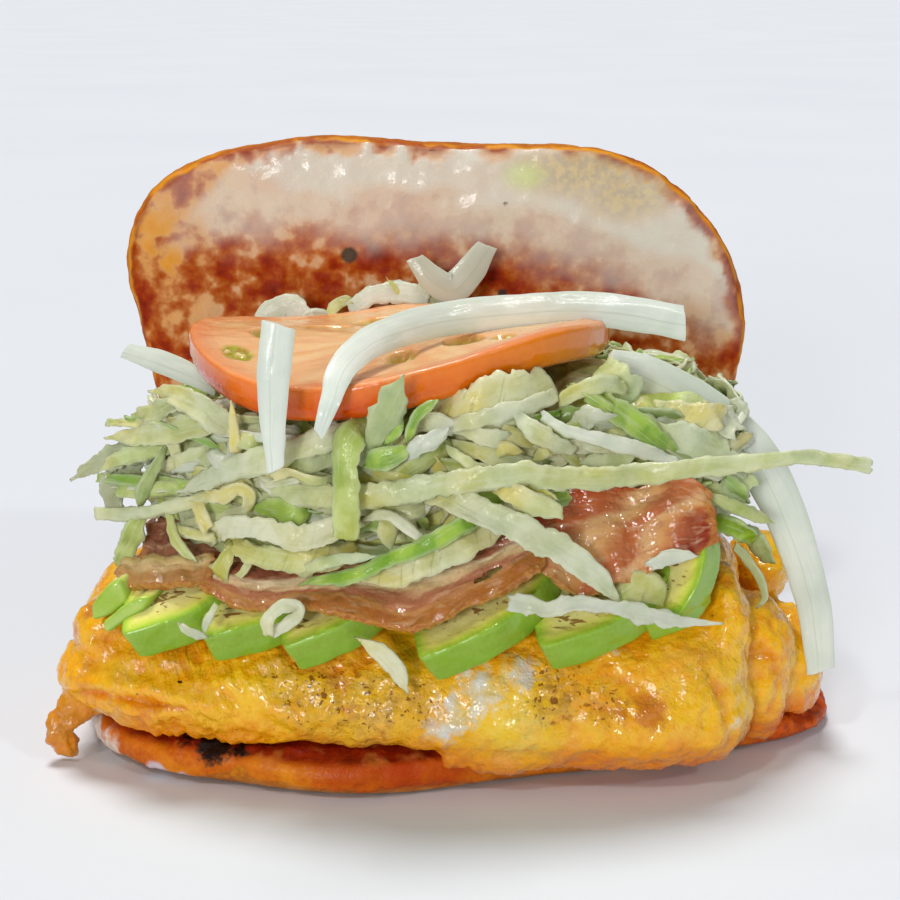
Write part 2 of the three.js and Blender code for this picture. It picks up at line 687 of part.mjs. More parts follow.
lay("bottom_bun", "bread", [bottomBun()]);
lay("top_bun", "bread", [topBun()]);
lay("omelette", "egg", omelette());
AVOCADO.slices.forEach((slice, i) => lay(`avocado_${i + 1}`, "avocado", [avocadoSlice(slice)]));
RASHERS.forEach((strip, i) => lay(`bacon_${i + 1}`, "bacon", [rasher(strip)]));
lay("tomato", "tomato", [tomatoSlice()]);
ONIONS.forEach((strip, i) => lay(`onion_${i + 1}`, "onion", [onionStrip(strip)]));
lay("lettuce", "lettuce", [...lettuceHeart(), ...FRONT_SHREDS.map(shred), ...looseShreds()]);

export default sandwich;
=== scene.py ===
import math
import random
from contextlib import contextmanager

import bpy
import numpy as np
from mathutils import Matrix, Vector, noise
from mathutils.bvhtree import BVHTree
from mathutils.kdtree import KDTree


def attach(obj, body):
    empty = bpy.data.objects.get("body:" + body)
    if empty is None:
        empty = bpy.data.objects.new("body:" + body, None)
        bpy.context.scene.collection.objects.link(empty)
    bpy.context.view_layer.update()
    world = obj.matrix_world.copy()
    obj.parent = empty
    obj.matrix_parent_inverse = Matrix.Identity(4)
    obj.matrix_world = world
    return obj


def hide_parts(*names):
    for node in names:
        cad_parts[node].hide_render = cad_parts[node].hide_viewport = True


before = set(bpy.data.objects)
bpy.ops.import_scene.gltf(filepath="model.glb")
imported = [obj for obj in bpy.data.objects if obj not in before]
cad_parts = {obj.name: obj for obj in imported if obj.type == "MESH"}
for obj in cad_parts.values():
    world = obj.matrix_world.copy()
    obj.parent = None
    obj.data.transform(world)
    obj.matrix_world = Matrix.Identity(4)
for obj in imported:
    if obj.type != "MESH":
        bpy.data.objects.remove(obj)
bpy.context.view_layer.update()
mm = 0.001  # lengths below are in millimetres unless a name says otherwise

view = {
    "place": (-4.0, -393.12, 156.77),
    "target": (-4.0, -5.0, 60.0),
    "lens": 76,
    "sensor": 36,
    "down": math.radians(14),
    "focus": 1900,  # focal length in pixels of the 900 pixel frame
    "middle": 450,
}
towardView = (0, -0.97, 0.24)
pathSteps = 200  # points on a path that a rasher or a strip follows
sharpEdge = math.radians(50)


# Objects and meshes

def pickNothing():
    bpy.ops.object.select_all(action="DESELECT")


def makeActive(piece):
    pickNothing()
    piece.select_set(True)
    bpy.context.view_layer.objects.active = piece


@contextmanager
def everythingPicked(piece):
    # edit mode with the whole mesh selected
    makeActive(piece)
    bpy.ops.object.mode_set(mode="EDIT")
    bpy.ops.mesh.select_all(action="SELECT")
    yield
    bpy.ops.object.mode_set(mode="OBJECT")


def newPiece(name, shape, **values):
    pickNothing()
    shape(**values)
    piece = bpy.context.object
    piece.name = name
    return piece


def applyModifier(piece, kind, **values):
    makeActive(piece)
    modifier = piece.modifiers.new(kind, kind)
    for key, value in values.items():
        setattr(modifier, key, value)
    bpy.ops.object.modifier_apply(modifier=modifier.name)


def remeshed(piece, voxel, smoothing):
    applyModifier(piece, "REMESH", mode="VOXEL", voxel_size=voxel * mm)
    if smoothing:
        applyModifier(piece, "SMOOTH", factor=0.5, iterations=smoothing)
    return piece


def thickened(piece, wall, rounding, segments):
    # gives a skin its thickness and rounds its sharp edges
    applyModifier(piece, "SOLIDIFY", thickness=wall * mm, offset=0)
    applyModifier(piece, "BEVEL", width=rounding * mm, segments=segments, limit_method="ANGLE",
                  angle_limit=sharpEdge)
    return piece


def readVectors(piece, name):
    flat = np.empty(len(piece.data.vertices) * 3, np.float32)
    piece.data.vertices.foreach_get(name, flat)
    return flat.reshape(-1, 3).astype(float)


def placesOf(piece):
    return readVectors(piece, "co") / mm


def normalsOf(piece):
    return readVectors(piece, "normal")


def movePlaces(piece, places):
    piece.data.vertices.foreach_set("co", (places * mm).astype(np.float32).ravel())
    piece.data.update()


def paint(piece, **layers):
    # one value for each vertex in an attribute that the materials read
    for name, values in layers.items():
        layer = piece.data.attributes.new(name, "FLOAT", "POINT")
        layer.data.foreach_set("value", np.broadcast_to(values, len(piece.data.vertices)).astype(np.float32))


def refined(nodeName, pieceName, voxel, smoothing, rounding):
    # a rounded and finely meshed copy of a node of the solid model
    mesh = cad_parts[nodeName].data.copy()
    mesh.materials.clear()
    piece = bpy.data.objects.new(pieceName, mesh)
    bpy.context.collection.objects.link(piece)
    with everythingPicked(piece):
        bpy.ops.mesh.remove_doubles(threshold=0.01 * mm)
    applyModifier(piece, "SUBSURF", levels=rounding, render_levels=rounding)
    return remeshed(piece, voxel, smoothing)


def finishPiece(piece, material, slot, *nodes):
    makeActive(piece)
    piece.data.materials.clear()
    piece.data.materials.append(material)
    bpy.ops.object.shade_smooth()
    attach(piece, "root")
    if nodes:
        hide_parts(*nodes)
    return piece


# Shape helpers

def roughness(places, size, seed=0, octaves=3):
    points = (places / size + 7.31 * seed + 0.37).tolist()
    return np.array([noise.fractal(p, 1.0, 2.1, octaves) for p in points])


def softNoise(places, size, seed=0):
    points = (places / size + 5.17 * seed + 0.61).tolist()
    return np.array([noise.noise(p) for p in points])


def cells(places, size, seed=0):
    # distance to the nearest and the next cell point, in cells
    points = (places / size + 3.77 * seed).tolist()
    found = [noise.voronoi(p)[0] for p in points]
    return np.array([f[0] for f in found]), np.array([f[1] for f in found])


def fade(low, high, value):
    t = np.clip((value - low) / (high - low), 0, 1)
    return t * t * (3 - 2 * t)


def unit(vectors):
    return vectors / np.maximum(np.linalg.norm(vectors, axis=-1, keepdims=True), 1e-9)


def columns(*parts):
    # rows of coordinates from arrays and single values
    return np.stack(np.broadcast_arrays(*parts), 1).astype(float)


def smoothPath(points, count):
    # even steps on a smooth line through the points, and its length
    p = np.array(points, float)
    p = np.vstack([2 * p[0] - p[1], p, 2 * p[-1] - p[-2]])
    t = np.linspace(0, 1, 24, endpoint=False)[:, None]
    runs = []
    for i in range(1, len(p) - 2):
        a, b, c, d = p[i - 1:i + 3]
        runs.append(0.5 * (2 * b + (c - a) * t + (2 * a - 5 * b + 4 * c - d) * t ** 2
                           + (3 * b - a - 3 * c + d) * t ** 3))
    fine = np.vstack([*runs, p[-2][None]])
    steps = np.r_[0, np.cumsum(np.linalg.norm(np.diff(fine, axis=0), axis=1))]
    even = np.linspace(0, steps[-1], count)
    return np.stack([np.interp(even, steps, fine[:, k]) for k in range(3)], 1), steps[-1]


def pickAlong(line, at):
    # places on a line, at fractions of its point numbers
    return np.stack([np.interp(at, range(len(line)), line[:, k]) for k in range(line.shape[1])], 1)


def frameAlong(line, at, facing):
    # for each place on a path: the place, the way along, the way across and the way out
    tangent = unit(pickAlong(unit(np.gradient(line, axis=0)), at))
    across = unit(np.cross(tangent, np.array(facing, float)))
    return pickAlong(line, at), tangent, across, np.cross(across, tangent)


def spots(places, marks):
    # soft round patches: place, radius, strength
    mask = np.zeros(len(places))
    for *middle, radius, strength in marks:
        reach = np.linalg.norm(places - np.array(middle), axis=1) / radius
        mask = np.maximum(mask, strength * np.exp(-reach ** 2.4))
    return mask


def paintSpots(piece, places, look, *names):
    paint(piece, **{name: spots(places, look[name]) for name in names})


def softOvals(u, w, marks):
    # soft oval patches on a flat face that fade out over their whole size
    mask = np.zeros(len(u))
    for a, b, halfU, halfW, strength in marks:
        reach = np.hypot((u - a) / halfU, (w - b) / halfW)
        mask = np.maximum(mask, strength * np.exp(-np.abs(reach) ** 3 * 0.7))
    return mask


def nearestOf(points):
    # finds the nearest of the points: its place, its index and how far it is
    lookup = KDTree(len(points))
    for i, p in enumerate(points):
        lookup.insert(p, i)
    lookup.balance()
    return lookup.find


def nearPath(places, path, count=120):
    # for each vertex: distance to the path, share of its length, and the nearest point
    line = smoothPath(path, count)[0]
    find = nearestOf(line)
    found = [find(p) for p in places.tolist()]
    index = np.array([f[1] for f in found])
    return np.array([f[2] for f in found]), index / (count - 1), line[index]


def fromPhoto(px, py, y):
    # the point at depth y that the photo shows at a pixel
    cosine, sine = math.cos(view["down"]), math.sin(view["down"])
    k = (view["middle"] - py) / view["focus"]
    dy = y - view["place"][1]
    dz = (k * dy * cosine - dy * sine) / (cosine + k * sine)
    forward = dy * cosine - dz * sine
    return (view["place"][0] + (px - view["middle"]) / view["focus"] * forward, y, view["place"][2] + dz)


# Material helpers, which add nodes to the tree on the bench

bench = {}


def tint(code):
    values = [int(code[i:i + 2], 16) / 255 for i in (0, 2, 4)]
    return tuple(v / 12.92 if v <= 0.04045 else ((v + 0.055) / 1.055) ** 2.4 for v in values)


def linked(value, socket):
    bench["tree"].links.new(value, socket)


def wire(kind, inputs=None, **settings):
    # a node with its inputs linked, tinted or set
    node = bench["tree"].nodes.new(kind)
    for key, value in settings.items():
        setattr(node, key, value)
    for key, value in (inputs or {}).items():
        if isinstance(value, bpy.types.NodeSocket):
            linked(value, node.inputs[key])
        else:
            node.inputs[key].default_value = (*tint(value), 1) if isinstance(value, str) else value
    return node


def ramp(factor, *stops):
    node = wire("ShaderNodeValToRGB", {"Fac": factor})
    elements = node.color_ramp.elements
    while len(elements) < len(stops):
        elements.new(0.5)
    for element, (place, code) in zip(elements, stops):
        element.position = place
        element.color = (*tint(code), 1)
    return node.outputs["Color"]


def reckoned(way, *values):
    return wire("ShaderNodeMath", dict(enumerate(values)), operation=way).outputs[0]


def times(a, b):
    return reckoned("MULTIPLY", a, b)


def plus(a, b):
    return reckoned("ADD", a, b)


def minus(a, b):
    return reckoned("SUBTRACT", a, b)


def sway(mask, amount):
    # turns a mask into a swing to both sides of zero
    return times(minus(mask, 0.5), amount)


def blend(factor, first, second):
    return wire("ShaderNodeMix", {0: factor, 6: first, 7: second}, data_type="RGBA").outputs[2]


def laid(under, mask, strength, over):
    # a colour laid over another where a mask says
    return blend(times(mask, strength), under, over)


def between(value, low, high, toLow=0.0, toHigh=1.0):
    return wire("ShaderNodeMapRange", {"Value": value, "From Min": low, "From Max": high, "To Min": toLow,
                                       "To Max": toHigh}, interpolation_type="SMOOTHSTEP").outputs["Result"]


def painted(name):
    return wire("ShaderNodeAttribute", attribute_name=name).outputs["Fac"]


def moved(way, *vectors):
    return wire("ShaderNodeVectorMath", dict(enumerate(vectors)), operation=way)


def millimetres():
    place = wire("ShaderNodeTexCoord").outputs["Object"]
    return moved("MULTIPLY", place, (1 / mm, 1 / mm, 1 / mm)).outputs[0]


def combined(x, y, z=0.0):
    return wire("ShaderNodeCombineXYZ", {"X": x, "Y": y, "Z": z}).outputs[0]


def turnedPlace(place, **inputs):
    return wire("ShaderNodeMapping", {"Vector": place, **inputs}).outputs[0]


def clouded(place, scale, detail, distortion=0.0):
    return wire("ShaderNodeTexNoise", {"Vector": place, "Scale": scale, "Detail": detail,
                                       "Distortion": distortion}).outputs["Fac"]


def bumped(height, depth):
    return wire("ShaderNodeBump", {"Height": height, "Distance": depth * mm}).outputs["Normal"]


def newGroup(name, result, **values):
    # a group that reads a place and named values and puts out one value
    group = bench["tree"] = bpy.data.node_groups.new(name, "ShaderNodeTree")
    group.interface.new_socket(name="Place", in_out="INPUT", socket_type="NodeSocketVector")
    for socket, value in values.items():
        made = group.interface.new_socket(name=socket, in_out="INPUT", socket_type="NodeSocketFloat")
        made.default_value = value
    group.interface.new_socket(name=result, in_out="OUTPUT", socket_type="NodeSocketFloat")
    return group, wire("NodeGroupInput").outputs, wire("NodeGroupOutput").inputs[result]


def buildMottle():
    # cloudy patches with uneven borders
    group, into, out = newGroup("mottle", "Mask", Scale=1.0, Low=0.45, High=0.6, Warp=0.6)
    cloud = clouded(into["Place"], into["Scale"], 3.0, into["Warp"])
    linked(between(cloud, into["Low"], into["High"]), out)
    return group


def buildSpecks():
    # scattered small dots, each a different size, many places left bare
    group, into, out = newGroup("specks", "Mask", Scale=1.0, Size=0.2, Share=0.3)
    dots = wire("ShaderNodeTexVoronoi", {"Vector": into["Place"], "Scale": into["Scale"], "Randomness": 1.0})
    split = wire("ShaderNodeSeparateColor", {"Color": dots.outputs["Color"]})
    chosen = reckoned("LESS_THAN", split.outputs["Red"], into["Share"])
    reach = times(into["Size"], plus(split.outputs["Green"], 0.3))
    inside = between(minus(reach, dots.outputs["Distance"]), 0.0, 0.05)
    linked(times(inside, chosen), out)
    return group


def buildSkin():
    # moist uneven skin: a coarse swell and fine bumps in one height
    group, into, out = newGroup("skin", "Height", Coarse=0.3, Fine=1.5, Share=0.5)
    coarse = clouded(into["Place"], into["Coarse"], 2.0)
    fine = clouded(into["Place"], into["Fine"], 1.0)
    linked(plus(coarse, times(fine, into["Share"])), out)
    return group


def buildFibres():
    # fine lines that run along the piece
    group, into, out = newGroup("fibres", "Lines", Count=8.0, Stretch=0.06, Warp=0.4)
    parts = wire("ShaderNodeSeparateXYZ", {"Vector": into["Place"]}).outputs
    place = combined(times(parts["X"], into["Stretch"]), parts["Y"], parts["Z"])
    linked(clouded(place, into["Count"], 3.0, into["Warp"]), out)
    return group


mottle = buildMottle()
specks = buildSpecks()
skin = buildSkin()
fibres = buildFibres()


def placed(group, place, **values):
    return wire("ShaderNodeGroup", {"Place": place, **values}, node_tree=group).outputs[0]


def mottled(place, scale, low, high, warp=0.2):
    return placed(mottle, place, Scale=scale, Low=low, High=high, Warp=warp)


def specked(place, scale, size, share):
    return placed(specks, place, Scale=scale, Size=size, Share=share)


def skinned(place, coarse, fine, share):
    return placed(skin, place, Coarse=coarse, Fine=fine, Share=share)


def fibred(place, count, stretch, warp):
    return placed(fibres, place, Count=count, Stretch=stretch, Warp=warp)


def newMaterial(name, **values):
    material = bpy.data.materials.new(name)
    material.use_nodes = True
    bench["tree"] = material.node_tree
    shader = material.node_tree.nodes["Principled BSDF"]
    shader.inputs["Specular IOR Level"].default_value = 0.1  # a low sheen, so that colours stay deep
    for key, value in values.items():
        shader.inputs[key.replace("_", " ")].default_value = value
    return material, shader


def dress(shader, place, colour, gloss, height, depth, film):
    linked(colour, shader.inputs["Base Color"])
    linked(gloss, shader.inputs["Roughness"])
    linked(bumped(height, depth), shader.inputs["Normal"])
    # the wet film on top has a smoother swell of its own
    linked(bumped(clouded(place, film, 3.0), 0.55 * depth), shader.inputs["Coat Normal"])


# Camera, floor and light

studio = {
    "floor": "e4e7eb",
    "floorRadius": 30,  # metres, so that no horizon shows at the photo's angle
    # suns: where each comes from, strength and spread in degrees
    "lamps": {
        "above": ((-140, 260, 1100), 2.15, 20),
        "front": ((-450, -1400, 330), 1.1, 12),
        "glint": ((-600, -1000, 1300), 0.42, 4.2),
        "rightGlint": ((900, -800, 900), 0.3, 4.2),
    },
    "ambient": 0.19,
    "sky": (0.94, 0.965, 1, 1),
}


def buildCamera():
    camera = bpy.data.objects.new("camera", bpy.data.cameras.new("camera"))
    bpy.context.collection.objects.link(camera)
    camera.data.lens = view["lens"]
    camera.data.sensor_width = view["sensor"]
    camera.data.clip_start = 0.01
    camera.data.clip_end = 100
    camera.location = Vector(view["place"]) * mm
    aim = Vector(view["target"]) * mm - camera.location
    camera.rotation_euler = aim.to_track_quat("-Z", "Y").to_euler()
    bpy.context.scene.camera = camera


def buildFloor():
    floor = newPiece("floor", bpy.ops.mesh.primitive_circle_add, vertices=96, radius=studio["floorRadius"],
                     fill_type="TRIFAN")
    material, shader = newMaterial("paleFloor", Roughness=0.8)
    cloud = clouded(wire("ShaderNodeTexCoord").outputs["Object"], 3.0, 2.0)
    linked(ramp(cloud, (0.3, "e1e4e9"), (0.7, studio["floor"])), shader.inputs["Base Color"])
    linked(bumped(cloud, 0.01), shader.inputs["Normal"])
    floor.data.materials.append(material)


def buildLight():
    for name, (place, strength, spread) in studio["lamps"].items():
        light = bpy.data.lights.new(name, "SUN")
        light.energy = strength
        light.angle = math.radians(spread)
        lamp = bpy.data.objects.new(name, light)
        bpy.context.collection.objects.link(lamp)
        lamp.location = Vector(place) * mm
        lamp.rotation_euler = (-lamp.location).to_track_quat("-Z", "Y").to_euler()
    world = bpy.data.worlds.new("paleRoom")
    world.use_nodes = True
    back = world.node_tree.nodes["Background"]
    back.inputs["Color"].default_value = studio["sky"]
    back.inputs["Strength"].default_value = studio["ambient"]
    bpy.context.scene.world = world
    bpy.context.scene.view_settings.view_transform = "Standard"
    bpy.context.scene.view_settings.look = "None"


buildCamera()
buildFloor()
buildLight()
print("camera, floor and light ready")


# The roll

bottomBunLook = {
    "voxel": 0.8,
    "coarse": 0.8,
    "fine": 0.25,
    "blackPatch": [(-51, -41.5, 9, 4.5, 1.0), (-46, -43.5, 9.2, 3.2, 0.9), (-57, -38, 9, 3, 0.7)],
    "floury": [(-80, -22, 3, 6.5, 1.0), (-74.5, -30, 2, 4.5, 0.9), (-70, -34, 0.5, 3.5, 0.6)],
    "chip": [(-63, -38, 1.0, 3.6, 1.0), (-57.5, -41, 0.6, 3.0, 1.0)],
    "redEnd": [(-14, -46, 6, 9, 1.0), (-24, -48, 7.5, 7, 0.8), (-6, -44, 4, 7, 1.0)],
    "corner": [(79, -13, 3, 9, 1.0), (71, -18, 5, 9, 1.0), (77, -4, 5, 8, 1.0), (64, -22, 4, 8, 1.0)],
    "tornEdge": [(-81, -14, 3), (-76, -27, 2.6), (-67, -35.5, 2.4), (-56, -41, 2.0), (-50, -43.5, 3.4),
                 (-46, -45.5, 5.4), (-42, -46.5, 3.6), (-34, -47.5, 2.4), (-22, -48, 2.0)],
}


def buildBottomBun():
    look = bottomBunLook
    piece = refined("bottom_bun", "bottomBun", look["voxel"], 3, 2)
    places, normals = placesOf(piece), normalsOf(piece)
    upward = fade(0.35, 0.8, normals[:, 2])
    underside = fade(0.4, 0.85, -normals[:, 2])
    side = 1 - np.maximum(upward, underside)
    grain = roughness(places, 9, 1, 4)
    fineGrain = roughness(places, 2.2, 2, 3)
    # the crust hangs over a paler lower layer along a torn edge at the front
    nearest = nearPath(places, look["tornEdge"])[2]
    above = places[:, 2] - nearest[:, 2] + 0.9 * softNoise(places, 3.0, 4)
    front = fade(-6, 4, -places[:, 1] - 18) * side
    lip = fade(-0.4, 0.5, above) * np.exp(-np.maximum(above, 0) / 5) * front
    crumb = upward * (0.5 - np.clip(cells(places, 3.2, 3)[0], 0, 0.5)) * 1.1
    shift = look["coarse"] * grain * (1 - underside) + look["fine"] * fineGrain + 0.9 * lip - crumb
    shift *= np.where(places[:, 2] < 1.2, 0.25, 1)
    movePlaces(piece, places + normals * shift[:, None])
    paint(piece, cut=upward, underneath=underside, lowerLayer=(1 - fade(-0.6, 0.4, above)) * front)
    paintSpots(piece, places, look, "blackPatch", "floury", "chip", "redEnd", "corner")
    return piece


def crustMaterial():
    material, shader = newMaterial("crust", Coat_Weight=0.15, Coat_Roughness=0.25, Subsurface_Weight=0.06,
                                   Subsurface_Radius=(0.004, 0.0015, 0.0006), Subsurface_Scale=0.5)
    place = millimetres()
    broad = mottled(place, 0.07, 0.33, 0.67)
    blotch = mottled(place, 0.22, 0.34, 0.68)
    fine = mottled(place, 0.9, 0.3, 0.7, 0.1)
    crust = blend(broad, "d06004", "ea8c10")
    crust = laid(crust, blotch, 0.6, "bc4a02")
    crust = laid(crust, fine, 0.25, "f0a028")
    crust = blend(painted("lowerLayer"), crust, blend(fine, "c87008", "e0941c"))
    crust = laid(crust, painted("redEnd"), 0.85, "b83402")
    under = blend(blotch, "c88a44", "a96524")
    crust = blend(painted("underneath"), crust, under)
    toast = blend(blotch, "7a1402", "a02c04")
    toast = laid(toast, fine, 0.3, "3a0a02")
    toast = blend(between(mottled(place, 0.12, 0.45, 0.7), 0.2, 1.0, 0.0, 0.7), toast, "c87a30")
    crust = blend(painted("cut"), crust, toast)
    spotted = blend(between(mottled(place, 0.35, 0.4, 0.66), 0.0, 1.0, 0.0, 0.8), "d85404", "9c2600")
    crust = laid(crust, painted("corner"), 0.9, spotted)
    # near-black patches on the top's front edge, in the gap under the omelette's crease
    rough = plus(painted("blackPatch"), sway(fine, 0.3))
    crust = blend(between(rough, 0.3, 0.75), crust, "180804")
    pale = blend(fine, "eee2d6", "d9c0ae")
    crust = blend(between(plus(painted("floury"), sway(blotch, 0.4)), 0.25, 0.6), crust, pale)
    crust = blend(between(painted("chip"), 0.35, 0.6), crust, "dccdd6")
    crust = laid(crust, specked(place, 0.42, 0.12, 0.2), 0.5, "6a2408")
    gloss = between(blotch, 0.0, 1.0, 0.3, 0.5)
    dress(shader, place, crust, gloss, skinned(place, 0.5, 2.2, 0.5), 0.4, 0.9)
    return material


finishPiece(buildBottomBun(), crustMaterial(), "bread", "bottom_bun")
print("bottom half of the roll ready")

topBunLook = {
    "voxel": 0.8,
    "middle": (-7.0, 37.5, 76.0),
    "lean": math.radians(4),
    # lower borders of the thin veil and of the thick mayonnaise: mm right of the face's middle, mm up
    "veil": [(-72, 30), (-60, 25), (-42, 25), (-28, 24), (-16, 22), (-3, 22), (7, 22), (25, 19), (42, 15),
             (50, 10), (60, 3), (72, 1)],
    "mayo": [(-54, 44), (-47, 39), (-38, 34), (-25, 31), (-16, 31), (1, 32), (16, 28), (33, 25), (46, 19),
             (56, 16), (68, 11), (74, 10)],
    # ovals: mm right, mm up, half sizes, strength
    "toasted": [(-38, 16, 19, 12, 1.0), (-24, 11, 16, 13, 1.0), (-9, 19, 17, 12, 1.0), (8, 15, 14, 12, 1.0),
                (24, 14, 17, 12, 1.0), (38, 11, 13, 9, 0.9), (-66, 1, 8, 16, 0.85), (-58, 34, 8, 4, 0.5),
                (60, 29, 7, 8, 0.9), (69, 10, 5, 9, 0.8), (58, -3, 12, 8, 0.8), (66, -6, 10, 8, 0.75),
                (50, -14, 14, 10, 0.7), (0, -12, 58, 18, 1.0), (-40, 41, 10, 2.5, 0.7),
                (-20, -30, 50, 10, 0.8), (30, -28, 34, 9, 0.8), (-5, 27, 6, 3, 1.0)],
    "pepper": [(-20, 19, 2.1, 2, 1.0), (6.9, 12, 1.5, 1.7, 1.0), (15, 10.4, 1.3, 1, 1.0),
               (-1, 43.6, 1.5, 1.1, 1.0), (15.6, 30.6, 0.9, 0.6, 0.8)],
    "dull": [(34, 38, 13, 5, 1.0), (43, 33, 9, 5, 0.9)],
    "greenBit": [(20, 37, 4, 2.8, 1.0)],
    "orange": [(-62, 22, 10, 20, 1.0), (-50, 36, 12, 9, 0.9), (-66, 6, 7, 14, 0.8), (66, 2, 8, 14, 0.6),
               (60, -14, 12, 10, 0.7), (-33, 42, 12, 4, 0.8)],
}


def lineHeight(points, u):
    return np.interp(u, [p[0] for p in points], [p[1] for p in points])


def buildTopBun():
    look = topBunLook
    piece = refined("top_bun", "topBun", look["voxel"], 3, 2)
    places, normals = placesOf(piece), normalsOf(piece)
    lean = look["lean"]
    away = places - np.array(look["middle"])
    depth = away @ np.array([0, math.cos(lean), -math.sin(lean)])
    w = away @ np.array([0, math.sin(lean), math.cos(lean)])
    u = away[:, 0]
    face = (1 - fade(0.9, 2.4, depth)) * fade(0.45, 0.8, -normals[:, 1])
    # how far each place is from the rim of the cut face
    rimPlaces = places[(face > 0.3) & (face < 0.7)]
    find = nearestOf(rimPlaces)
    inset = np.array([find(p)[2] if f > 0.5 else 0 for p, f in zip(places.tolist(), face)])
    broken = roughness(places, 9, 3, 4)
    fineBroken = roughness(places, 3.5, 4, 3)
    veil = 0.72 * fade(-7, 5, w - lineHeight(look["veil"], u) + 4 * broken)
    mayo = fade(-6, 4, w - lineHeight(look["mayo"], u) + 3 * broken)
    inside = fade(1.0, 4.0, inset + 1.8 * fineBroken) * fade(-54, -47, u - 0.9 * (w - 36))
    dull = softOvals(u, w, look["dull"]) * face
    wet = mayo * inside * face * (1 - 0.8 * dull)
    cover = np.maximum(wet, veil * np.maximum(inside, 0.3) * face)
    crumb = face * (0.45 - np.clip(cells(places, 2.6, 5)[0], 0, 0.45)) * 0.9 * (1 - cover)
    folds = 0.4 * roughness(places * np.array([0.5, 1, 1.4]), 8, 6, 3)
    back = fade(2, 8, depth)
    rim = np.exp(-((depth - 2) / 3) ** 2)
    dome = 0.6 * roughness(places, 16, 7, 3) + 0.15 * roughness(places, 2.4, 8, 3)
    shift = wet * (0.6 + 0.4 * folds) + 0.2 * roughness(places, 4, 9, 3) * face - crumb + back * dome
    shift += 0.7 * rim * roughness(places, 6, 12, 3)
    # shallow creases in the dry crust
    plates, borders = cells(places * np.array([0.8, 1, 1.3]), 11, 14)
    creased = np.exp(-((borders - plates) / 0.07) ** 2) * fade(-0.1, 0.4, softNoise(places, 20, 16))
    shift -= 0.35 * back * creased
    movePlaces(piece, places + normals * shift[:, None])
    rimDark = np.exp(-(inset / 1.3) ** 2) * face
    paint(piece, face=face, cover=np.clip(cover, 0, 1), wet=wet, dull=dull, depth=np.clip(depth / 31, 0, 1),
          toasted=np.clip(softOvals(u, w, look["toasted"]) + 0.5 * np.exp(-inset / 2.0), 0, 1),
          orange=softOvals(u, w, look["orange"]), greenBit=softOvals(u, w, look["greenBit"]) * face,
          pepper=softOvals(u, w, look["pepper"]) * face,
          rimDark=rimDark * fade(-0.25, 0.25, roughness(places, 12, 15, 2) + 0.012 * w - 0.25))
    return piece


def topBunMaterial():
    material, shader = newMaterial("toastedFace", Coat_Roughness=0.12, Subsurface_Weight=0.06,
                                   Subsurface_Radius=(0.003, 0.002, 0.001), Subsurface_Scale=0.6)
    place = millimetres()
    patch = clouded(place, 0.13, 1.5)
    small = clouded(place, 0.3, 2.0)
    fine = mottled(place, 1.4, 0.3, 0.7, 0.1)
    uneven = plus(sway(patch, 1.0), sway(small, 1.2))
    heat = plus(times(painted("toasted"), 0.5), plus(uneven, 0.08))
    bare = blend(painted("orange"), "dcae84", blend(small, "e08a14", "e6b050"))
    toast = ramp(heat, (0.0, "e0bc94"), (0.2, "d6a276"), (0.34, "c87c42"), (0.5, "b25410"), (0.68, "9e3000"),
                 (0.95, "7c1800"))
    toast = blend(between(heat, 0.12, 0.4, 1.0, 0.0), toast, bare)
    cream = blend(mottled(place, 0.05, 0.3, 0.7), "e3dfd0", "dccdbd")
    toast = blend(painted("cover"), toast, cream)
    speckle = blend(mottled(place, 0.6, 0.35, 0.65, 0.1), "b8ac90", "d9c48c")
    toast = laid(toast, painted("dull"), 0.75, speckle)
    toast = laid(toast, painted("greenBit"), 0.7, "d3e39a")
    toast = laid(toast, painted("rimDark"), 0.85, "861a00")
    toast = blend(between(painted("pepper"), 0.35, 0.8, 0.0, 0.9), toast, "34302a")
    crust = blend(mottled(place, 0.05, 0.33, 0.7), "b04c06", "d88618")
    crust = laid(crust, mottled(place, 0.2, 0.35, 0.7), 0.5, "8a360a")
    crust = laid(crust, fine, 0.12, "eaa850")
    domed = times(between(painted("depth"), 0.45, 1.0), between(patch, 0.3, 0.6, 0.25, 0.7))
    crust = blend(domed, crust, "86340a")
    crust = laid(crust, specked(place, 0.35, 0.22, 0.45), 0.3, "e0983c")
    rim = between(painted("depth"), 0.03, 0.12, 1.0, 0.0)
    edgeTint = blend(between(patch, 0.42, 0.55), "9c3406", "f0a41c")
    crust = laid(crust, rim, 0.85, edgeTint)
    colour = blend(painted("face"), crust, toast)
    gloss = between(painted("wet"), 0.2, 0.8, 0.5, 0.25)
    dress(shader, place, colour, gloss, skinned(place, 0.35, 1.6, 0.5), 0.2, 0.6)
    linked(times(painted("wet"), 0.25), shader.inputs["Coat Weight"])
    return material


finishPiece(buildTopBun(), topBunMaterial(), "bread", "top_bun")
print("top half of the roll ready")


# The omelette

